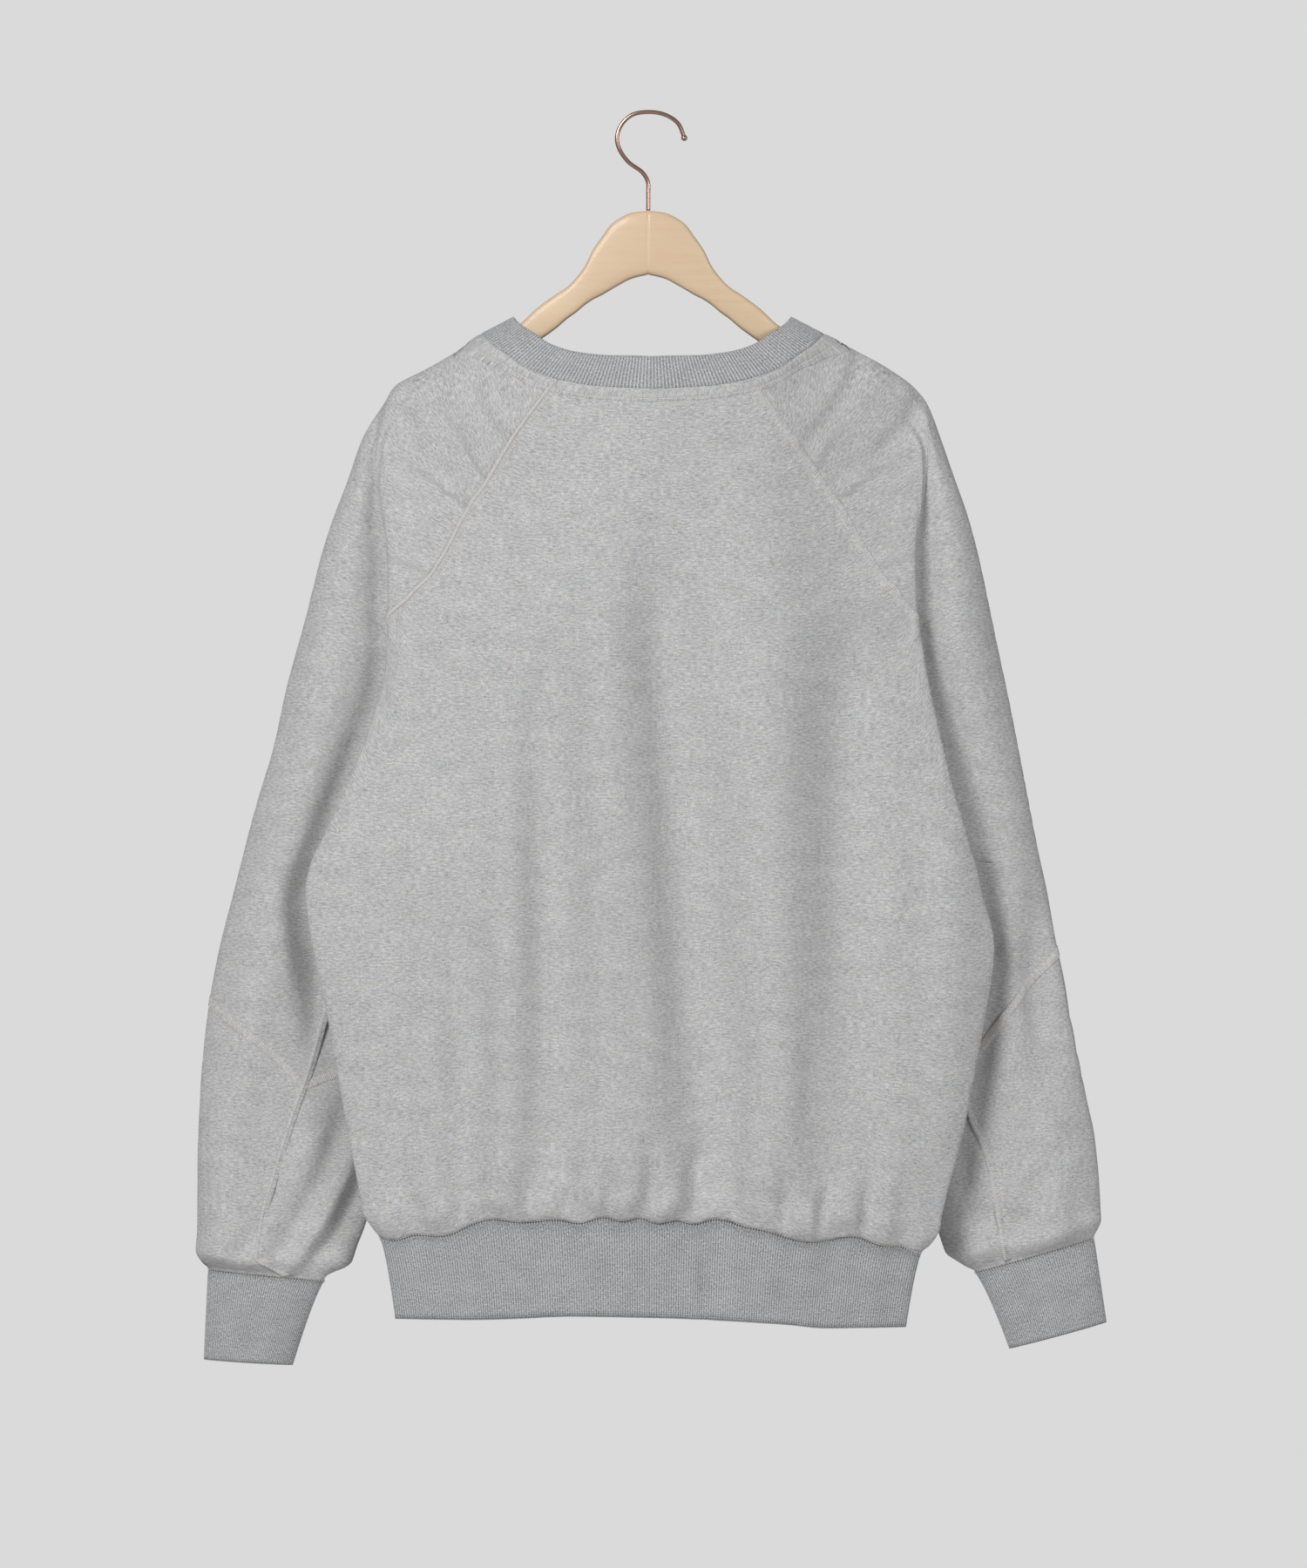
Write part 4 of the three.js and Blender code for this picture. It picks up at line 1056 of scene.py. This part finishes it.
# How the line and the level change for a millimetre at right angles to a path on a surface.
def acrossPath(pointAt, line, at, hand):
    byLine = (pointAt(line + 0.02, at) - pointAt(line - 0.02, at)) / 0.04
    byLevel = (pointAt(line, at + 0.004) - pointAt(line, at - 0.004)) / 0.008
    way = unit(np.gradient(pointAt(line, at), axis=0))
    side = np.cross(unit(np.cross(byLevel, byLine)) * hand, way)

    def dot(a, b):
        return np.sum(a * b, axis=-1)

    a, b, c = dot(byLine, byLine), dot(byLine, byLevel), dot(byLevel, byLevel)
    d, e = dot(byLine, side), dot(byLevel, side)
    scale = a * c - b * b
    return (c * d - b * e) / scale, (a * e - b * d) / scale


# A path is what a seam follows: lines and levels on a surface, with its hand and its creases.
def pathOf(pointAt, line, at, hand, sets, turned=1):
    path = {"pointAt": pointAt, "line": line, "at": at, "hand": hand, "sets": sets}
    path["turned"] = turned
    path["dLine"], path["dLevel"] = acrossPath(pointAt, line, at, hand)
    steps = np.linalg.norm(np.diff(pointAt(line, at), axis=0), axis=-1)
    path["sums"] = np.concatenate([[0], np.cumsum(steps)])
    return path


# The finished surface beside a path: at places along it, and offsets across it.
def beside(path, places, offsets):
    line, at, dLine, dLevel = (
        np.interp(places, path["sums"], path[key]) for key in ("line", "at", "dLine", "dLevel"))
    offsets = path["turned"] * offsets
    return surface(
        path["pointAt"], line + dLine * offsets, at + dLevel * offsets, path["hand"], path["sets"])


# A narrow raised strip along a path, whose profile gives offsets and heights across it.
def strip(name, path, profile, finish):
    offsets, heights = np.array(profile, float).T
    places = np.linspace(0, path["sums"][-1], int(path["sums"][-1] / 1.6))[:, None]
    shape = (len(places), len(offsets))
    places, offsets = np.broadcast_to(places, shape), np.broadcast_to(offsets, shape)
    points, normals = beside(path, places, offsets)
    outer = points + normals * heights[..., None]
    inner = points - normals * 0.7
    faces = shellFaces(*shape, False, path["turned"])
    grain = np.stack([offsets, places], -1)
    both = np.concatenate([outer.reshape(-1, 3), inner.reshape(-1, 3)])
    return pieceFrom(name, both, faces, finish, np.concatenate([grain, grain]))


# Two ends and the outward direction of each stitch laid across a path.
def crossStitches(path, pitch, near, far):
    length = path["sums"][-1]
    places = np.arange(pitch / 2, length - pitch / 2, pitch)
    start, normal = beside(path, places, np.full(len(places), near))
    end, _ = beside(path, places, np.full(len(places), far))
    return start, end, normal


# The same for stitches that run along it.
def runStitches(path, pitch, offset, share=0.76):
    places = np.arange(pitch / 2, path["sums"][-1] - pitch / 2, pitch)
    across = np.full(len(places), offset)
    start, normal = beside(path, places - share * pitch / 2, across)
    end, _ = beside(path, places + share * pitch / 2, across)
    return start, end, normal


# Lays one short arched thread at each point, along its way and lifted along its out direction.
def threadTree(finish):
    tree, names, add, link = newTree("laidThreads", ["Thread radius", "Thread lift"])

    def attribute(name):
        made = add("GeometryNodeInputNamedAttribute", data_type="FLOAT_VECTOR")
        made.inputs["Name"].default_value = name
        return made.outputs["Attribute"]

    start = add("NodeGroupInput")
    end = add("NodeGroupOutput")
    arch = add("ShaderNodeCombineXYZ")
    link(start.outputs["Thread lift"], arch.inputs["Z"])
    curve = add("GeometryNodeCurveQuadraticBezier")
    curve.inputs["Resolution"].default_value = 4
    curve.inputs["Start"].default_value = (-0.5, 0, 0)
    curve.inputs["End"].default_value = (0.5, 0, 0)
    link(arch.outputs[0], curve.inputs["Middle"])
    ring = add("GeometryNodeCurvePrimitiveCircle")
    ring.inputs["Resolution"].default_value = 4
    link(start.outputs["Thread radius"], ring.inputs["Radius"])
    tube = add("GeometryNodeCurveToMesh")
    tube.inputs["Fill Caps"].default_value = True
    link(curve.outputs[0], tube.inputs["Curve"])
    link(ring.outputs[0], tube.inputs["Profile Curve"])
    turn = add("FunctionNodeAxesToRotation", primary_axis="X", secondary_axis="Z")
    way = attribute("way")
    link(way, turn.inputs["Primary Axis"])
    link(attribute("out"), turn.inputs["Secondary Axis"])
    length = add("ShaderNodeVectorMath", operation="LENGTH")
    link(way, length.inputs[0])
    size = add("ShaderNodeCombineXYZ")
    size.inputs["Y"].default_value = 1
    size.inputs["Z"].default_value = 1
    link(length.outputs["Value"], size.inputs["X"])
    place = add("GeometryNodeInstanceOnPoints")
    link(start.outputs["Geometry"], place.inputs["Points"])
    link(tube.outputs[0], place.inputs["Instance"])
    link(turn.outputs[0], place.inputs["Rotation"])
    link(size.outputs[0], place.inputs["Scale"])
    real = add("GeometryNodeRealizeInstances")
    link(place.outputs[0], real.inputs[0])
    smooth = add("GeometryNodeSetShadeSmooth")
    link(real.outputs[0], smooth.inputs[0])
    material = add("GeometryNodeSetMaterial")
    material.inputs["Material"].default_value = finish
    link(smooth.outputs[0], material.inputs["Geometry"])
    link(material.outputs[0], end.inputs[0])
    return tree, names


threadsTree, threadInputs = threadTree(thread)


def threads(name, stitches, radius, lift, height):
    start, end, normal = (np.concatenate(parts) for parts in zip(*stitches))
    points = (start + end) / 2 + normal * height
    piece = pieceFrom(name, points, np.zeros((0, 3), int), thread)
    for key, vectors in (("way", (end - start) * mm), ("out", normal)):
        attribute = piece.data.attributes.new(key, "FLOAT_VECTOR", "POINT")
        attribute.data.foreach_set("vector", vectors.ravel())
    grown(piece, threadsTree, dict(zip(threadInputs, (radius * mm, lift * mm))))
    print(name, len(points), "stitches")
    return piece


seams = {
    # offsets towards the sleeve or down, and heights
    "leftRaglan": [(-3.6, -0.2), (-3.2, 0.1), (-2, 0.16), (-0.6, 0.16), (0.2, 0.3), (0.8, 0.9),
                   (1.5, 1.35), (2.4, 1.35), (3.1, 0.8), (3.7, -0.2)],
    "rightRaglan": [(-3.4, -0.2), (-3, 0.3), (-1.5, 0.5), (0, 0.5), (1.6, 0.5), (2.4, 0.4),
                    (2.9, 0.6), (3.5, 0.5), (4, -0.2)],
    "elbow": [(-3.2, -0.2), (-2.8, 0.25), (-1.5, 0.4), (0, 0.42), (1.5, 0.4), (2.8, 0.25),
              (3.2, -0.2)],
    "underarm": [(-2.6, -0.2), (-2.1, 0.5), (-1.2, 1.1), (-0.2, 1.15), (0.8, 0.5), (2, 0.35),
                 (2.8, -0.2)],
    "neck": [(0.1, -0.3), (0.4, 0.35), (1.4, 0.75), (3, 0.85), (4.4, 0.7), (5.1, 0.25),
             (5.8, 0.45), (6.6, 0.3), (7.2, -0.2)],
    "crossPitch": 1.35, "runPitch": 2.6, "thread": 0.2,
}


def raglanPath(side, column):
    at = np.linspace(0.012, 1.0, 260)
    line = read(seamLine, column, at)
    turned = side if column == "back" else -side
    return pathOf(yokePoint, line if side > 0 else 30 - line, at, 1, ["back"], turned)


def elbowPath(side):
    def pointAt(line, at):
        return sleevePoint(side, line, at)

    middle = elbowLevel(side, np.full(1, 0.5))
    line = spread(pointAt, middle, np.full(1, 5.0), np.full(1, 12.0), 200)[0]
    at = elbowLevel(side, np.linspace(0, 1, 201))
    return pathOf(pointAt, line, at, side, ["arms", "far"])


def underarmPath(side):
    at = np.linspace(1.03, 1.99, 200)
    return pathOf(lambda line, level: sleevePoint(side, line, level), np.full(200, 5.0), at,
                  side, ["arms"])


neckPath = pathOf(
    yokePoint, np.linspace(-15, 15.03, 500), np.full(500, 0.008), 1, ["back"], -1)
raglans = {(side, column): raglanPath(side, column) for side in (-1, 1)
           for column in ("back", "front")}
elbows = {side: elbowPath(side) for side in (-1, 1)}
underarms = {side: underarmPath(side) for side in (-1, 1)}

seamPieces = []
for (side, column), path in raglans.items():
    name = sideNames[side] + column.capitalize() + "RaglanSeam"
    seamPieces.append(strip(name, path, seams[sideNames[side] + "Raglan"], fleece))
for side in (-1, 1):
    name = sideNames[side]
    seamPieces.append(strip(name + "ElbowSeam", elbows[side], seams["elbow"], fleece))
    seamPieces.append(strip(name + "UnderarmSeam", underarms[side], seams["underarm"], fleece))
seamPieces.append(strip("neckSeam", neckPath, seams["neck"], fleece))

ladder = {path: crossStitches(raglans[path], seams["crossPitch"], -2.9, 0.3) for path in raglans}
ridge = [crossStitches(raglans[-1, column], 0.95, 0.7, 3.2) for column in ("back", "front")]
wide = [crossStitches(raglans[1, column], 1.6, -2.6, 2.0) for column in ("back", "front")]
raglanThreads = threads(
    "raglanThreads", [ladder[-1, "back"], ladder[-1, "front"], *wide], seams["thread"], 0.25, 0.4)
ridgeThreads = threads("ridgeThreads", ridge, 0.34, 1.0, 1.0)
elbowThreads = threads(
    "elbowThreads", [crossStitches(p, seams["crossPitch"], -2.6, 2.6) for p in elbows.values()],
    0.26, 0.3, 0.4)
underarmThreads = threads(
    "underarmThreads",
    [crossStitches(p, seams["crossPitch"], -1.9, 0.5) for p in underarms.values()],
    0.28, 0.8, 0.8)
neckThreads = threads(
    "neckThreads", [runStitches(neckPath, seams["runPitch"], 5.1)], 0.28, 0.35, 0.3)


# Short stitches over the gap between a ribbed band and the fleece above it.
def gapStitches(ringAt, pitch, above, below):
    fine = np.linspace(0, 1, 1201)
    ring = ringAt(fine, np.zeros(1201))
    sums = np.concatenate([[0], np.cumsum(np.linalg.norm(np.diff(ring, axis=0), axis=-1))])
    places = np.interp(np.arange(0, sums[-1] - pitch / 2, pitch), sums, fine)
    top = ringAt(places, np.zeros(len(places)))
    low = ringAt(places, np.full(len(places), 0.03))
    ahead = ringAt(places + 0.002, np.zeros(len(places)))
    normal = unit(np.cross(low - top, ahead - top))
    way = unit(low - top)
    return top - way * above, top + way * below, normal


hemThreads = threads(
    "hemThreads", [gapStitches(hemRingAt, 2.0, 1.3, 1.5)], seams["thread"], 0.3, 0.25)
cuffThreads = threads(
    "cuffThreads", [gapStitches(cuffRingAt(side), 2.0, 1.3, 1.5) for side in (-1, 1)],
    seams["thread"], 0.3, 0.25)
threadPieces = [raglanThreads, ridgeThreads, elbowThreads, underarmThreads, neckThreads,
                hemThreads, cuffThreads]

neck = ribbedBand("neckRib", neckRingAt, 600, ribbing["neckPitch"], 14)
hem = ribbedBand("hemRib", hemRingAt, 760, ribbing["hemPitch"], 14, 0.12)
cuffBands = {}
for side in (-1, 1):
    name = sideNames[side] + "Cuff"
    cuffBands[side] = ribbedBand(name, cuffRingAt(side), 190, ribbing["hemPitch"], 22, 0.06)


# Hanger

hanger = {"thickness": 12, "underside": 4, "bow": 38, "front": -8, "half": 190,
          "groove": 0.25, "hookWire": 3, "hookBall": 4.4, "hookSeat": 70}
hangerEdge = table("out left right low", [
    (0, 70, 70, 112), (12, 71.5, 71.5, 115), (20, 75, 75, 119), (27, 80, 80, 123),
    (33, 88, 88, 126.5), (40, 98, 98, 130), (46, 110, 110, 134), (52, 118, 118, 139),
    (59, 125, 125, 144), (66, 129.5, 129.5, 150), (80, 139.5, 139.5, 160), (94, 152, 152, 170),
    (109, 161, 160.5, 179), (124, 168, 167, 187), (138, 177, 173, 195),
    (152, 184.5, 180, 202), (166, 192, 188, 208), (176, 198, 194, 212),
])


# A closed body through rings of points, with flat ends.
def loftFaces(rows, columns):
    grid = np.arange(rows * columns).reshape(rows, columns)
    grid = np.concatenate([grid, grid[:, :1]], axis=1)
    sides = np.stack([grid[:-1, :-1], grid[:-1, 1:], grid[1:, 1:], grid[1:, :-1]], -1)
    faces = sides.reshape(-1, 4).tolist()
    faces.append(list(range(columns - 1, -1, -1)))
    faces.append([(rows - 1) * columns + index for index in range(columns)])
    return faces


def hangerWood():
    x = np.concatenate([np.linspace(-176, -0.6, 150), [-0.3, 0.3], np.linspace(0.6, 176, 150)])
    out = np.abs(x)
    depth = hanger["front"] + hanger["bow"] * (out / hanger["half"]) ** 1.6
    top = np.where(x < 0, read(hangerEdge, "left", out), read(hangerEdge, "right", out))
    low = read(hangerEdge, "low", out) + hanger["underside"]
    groove = np.where(out < 0.5, hanger["groove"], 0.0)
    turn = np.radians(np.arange(0, 360, 12))
    half = hanger["thickness"] / 2 - groove
    high = (low - top) / 2 - groove
    power = 0.42
    side = np.sign(np.cos(turn)) * np.abs(np.cos(turn)) ** power
    rise = np.sign(np.sin(turn)) * np.abs(np.sin(turn)) ** power
    middle = (low + top) / 2
    points = spot(
        x[:, None], depth[:, None] + half[:, None] * side[None, :],
        middle[:, None] - high[:, None] * rise[None, :])
    return points


woodPoints = hangerWood()
woodFaces = loftFaces(*woodPoints.shape[:2])


wood = pieceFrom("hangerBeech", woodPoints, woodFaces, beech)


def hookPoints():
    seat = hanger["hookSeat"]
    way = np.array([
        (0, -seat + 0.3), (0, -58), (-0.3, -49), (-4, -42.5), (-14.5, -34.5), (-21, -25),
        (-22.6, -17), (-19.6, -8), (-11.6, -0.6), (0.6, 1.5), (12.4, -0.6), (21.4, -6.6),
        (25.2, -14.6), (26.6, -19.4),
    ], float)
    ends = [2 * way[:1] - way[1:2], way, 2 * way[-1:] - way[-2:-1]]
    way = np.concatenate(ends)
    path = []
    for start in range(len(way) - 3):
        share = np.linspace(0, 1, 12, endpoint=False)
        four = [np.broadcast_to(way[start + step], (12, 2)) for step in range(4)]
        path.append(stretchOf(four, share))
    path = np.concatenate([*path, way[-2:-1]])
    length = np.concatenate([[0], np.cumsum(np.linalg.norm(np.diff(path, axis=0), axis=-1))])
    ball = hanger["hookBall"]
    left = length[-1] - length
    wire = hanger["hookWire"] / 2
    keep = left > ball * 0.82
    places = list(length[keep])
    radii = [wire] * len(places)
    for turn in np.radians(np.arange(140, -1, -10)):
        places.append(length[-1] - ball / 2 + ball / 2 * math.cos(turn))
        radii.append(max(ball / 2 * math.sin(turn), 0.05))
    places = np.array(places)
    here = np.stack([np.interp(places, length, path[:, k]) for k in (0, 1)], -1)
    ahead = np.stack([np.interp(places + 0.4, length, path[:, k]) for k in (0, 1)], -1)
    behind = np.stack([np.interp(places - 0.4, length, path[:, k]) for k in (0, 1)], -1)
    along = unit(ahead - behind)
    turn = np.radians(np.arange(0, 360, 15))
    radii = np.array(radii)[:, None]
    x = here[:, :1] + radii * np.cos(turn) * along[:, 1:]
    z = here[:, 1:] - radii * np.cos(turn) * along[:, :1]
    y = hanger["front"] + radii * np.sin(turn)
    return spot(x, y, -z)


hookRings = hookPoints()
hook = pieceFrom("hookWire", hookRings, loftFaces(*hookRings.shape[:2]), copper)
print("hanger ready")


# Who stands for which solid

finishPiece(back, ["back_panel"])
finishPiece(front, ["front_panel"])
finishPiece(neck, ["neck_rib"])
finishPiece(hem, ["hem_rib"])
for side in (-1, 1):
    name = sideNames[side]
    finishPiece(sleeves[side], [name + "_upper_sleeve"])
    finishPiece(forearms[side], [name + "_forearm"])
    finishPiece(cuffBands[side], [name + "_cuff"])
for piece in seamPieces + threadPieces:
    finishPiece(piece)
finishPiece(wood, ["hanger_wood"])
finishPiece(hook, ["hook"])


# Camera, light and floor

view = {"distance": 6.0, "frameHeight": 1.134, "across": 0.0038, "down": 0.4845}

camera = bpy.data.objects.new("camera", bpy.data.cameras.new("camera"))
camera.data.sensor_fit = "VERTICAL"
camera.data.sensor_height = 24
camera.data.lens = 24 * view["distance"] / view["frameHeight"]
camera.data.clip_end = 50
camera.location = (view["across"], -view["distance"], -view["down"])
camera.rotation_euler = (math.pi / 2, 0, 0)
scene.collection.objects.link(camera)
scene.camera = camera


def areaLight(name, place, aim, size, power):
    lamp = bpy.data.lights.new(name, "AREA")
    lamp.shape = "DISK"
    lamp.size = size
    lamp.energy = power
    light = bpy.data.objects.new(name, lamp)
    light.location = place
    way = np.array(aim, float) - np.array(place, float)
    flat = math.hypot(way[0], way[1])
    light.rotation_euler = (math.atan2(flat, -way[2]), 0, math.atan2(-way[0], way[1]))
    scene.collection.objects.link(light)


areaLight("keyLight", (-2.3, -3.9, 1.7), (0, 0, -0.45), 2.4, 160)
areaLight("fillLight", (3.2, -3.6, 0.3), (0, 0, -0.5), 2.0, 60)

# The backdrop shows one pale grey, and lights the cloth more softly than that.
world = bpy.data.worlds.new("paleStudio")
world.use_nodes = True
nodes = world.node_tree.nodes
shown = nodes["Background"]
shown.inputs["Color"].default_value = (0.7, 0.7, 0.7, 1)
ambient = nodes.new("ShaderNodeBackground")
ambient.inputs["Color"].default_value = (0.20, 0.20, 0.203, 1)
rays = nodes.new("ShaderNodeLightPath")
both = nodes.new("ShaderNodeMixShader")
world.node_tree.links.new(rays.outputs["Is Camera Ray"], both.inputs["Fac"])
world.node_tree.links.new(ambient.outputs[0], both.inputs[1])
world.node_tree.links.new(shown.outputs[0], both.inputs[2])
world.node_tree.links.new(both.outputs[0], nodes["World Output"].inputs["Surface"])
scene.world = world
scene.view_settings.view_transform = "Standard"

floorSize = 2.0
floorDown = 1.7
corners = [(-floorSize, -floorSize), (floorSize, -floorSize), (floorSize, floorSize),
           (-floorSize, floorSize)]
floorMesh = bpy.data.meshes.new("floor")
floorMesh.from_pydata([(x, y, -floorDown) for x, y in corners], [], [(0, 1, 2, 3)])
floor = bpy.data.objects.new("floor", floorMesh)
scene.collection.objects.link(floor)
paint = Finish("floorPaint", 0.9)
paint.colour((0.7, 0.7, 0.7, 1))
floorMesh.materials.append(paint.material)
print("camera, light and floor ready")
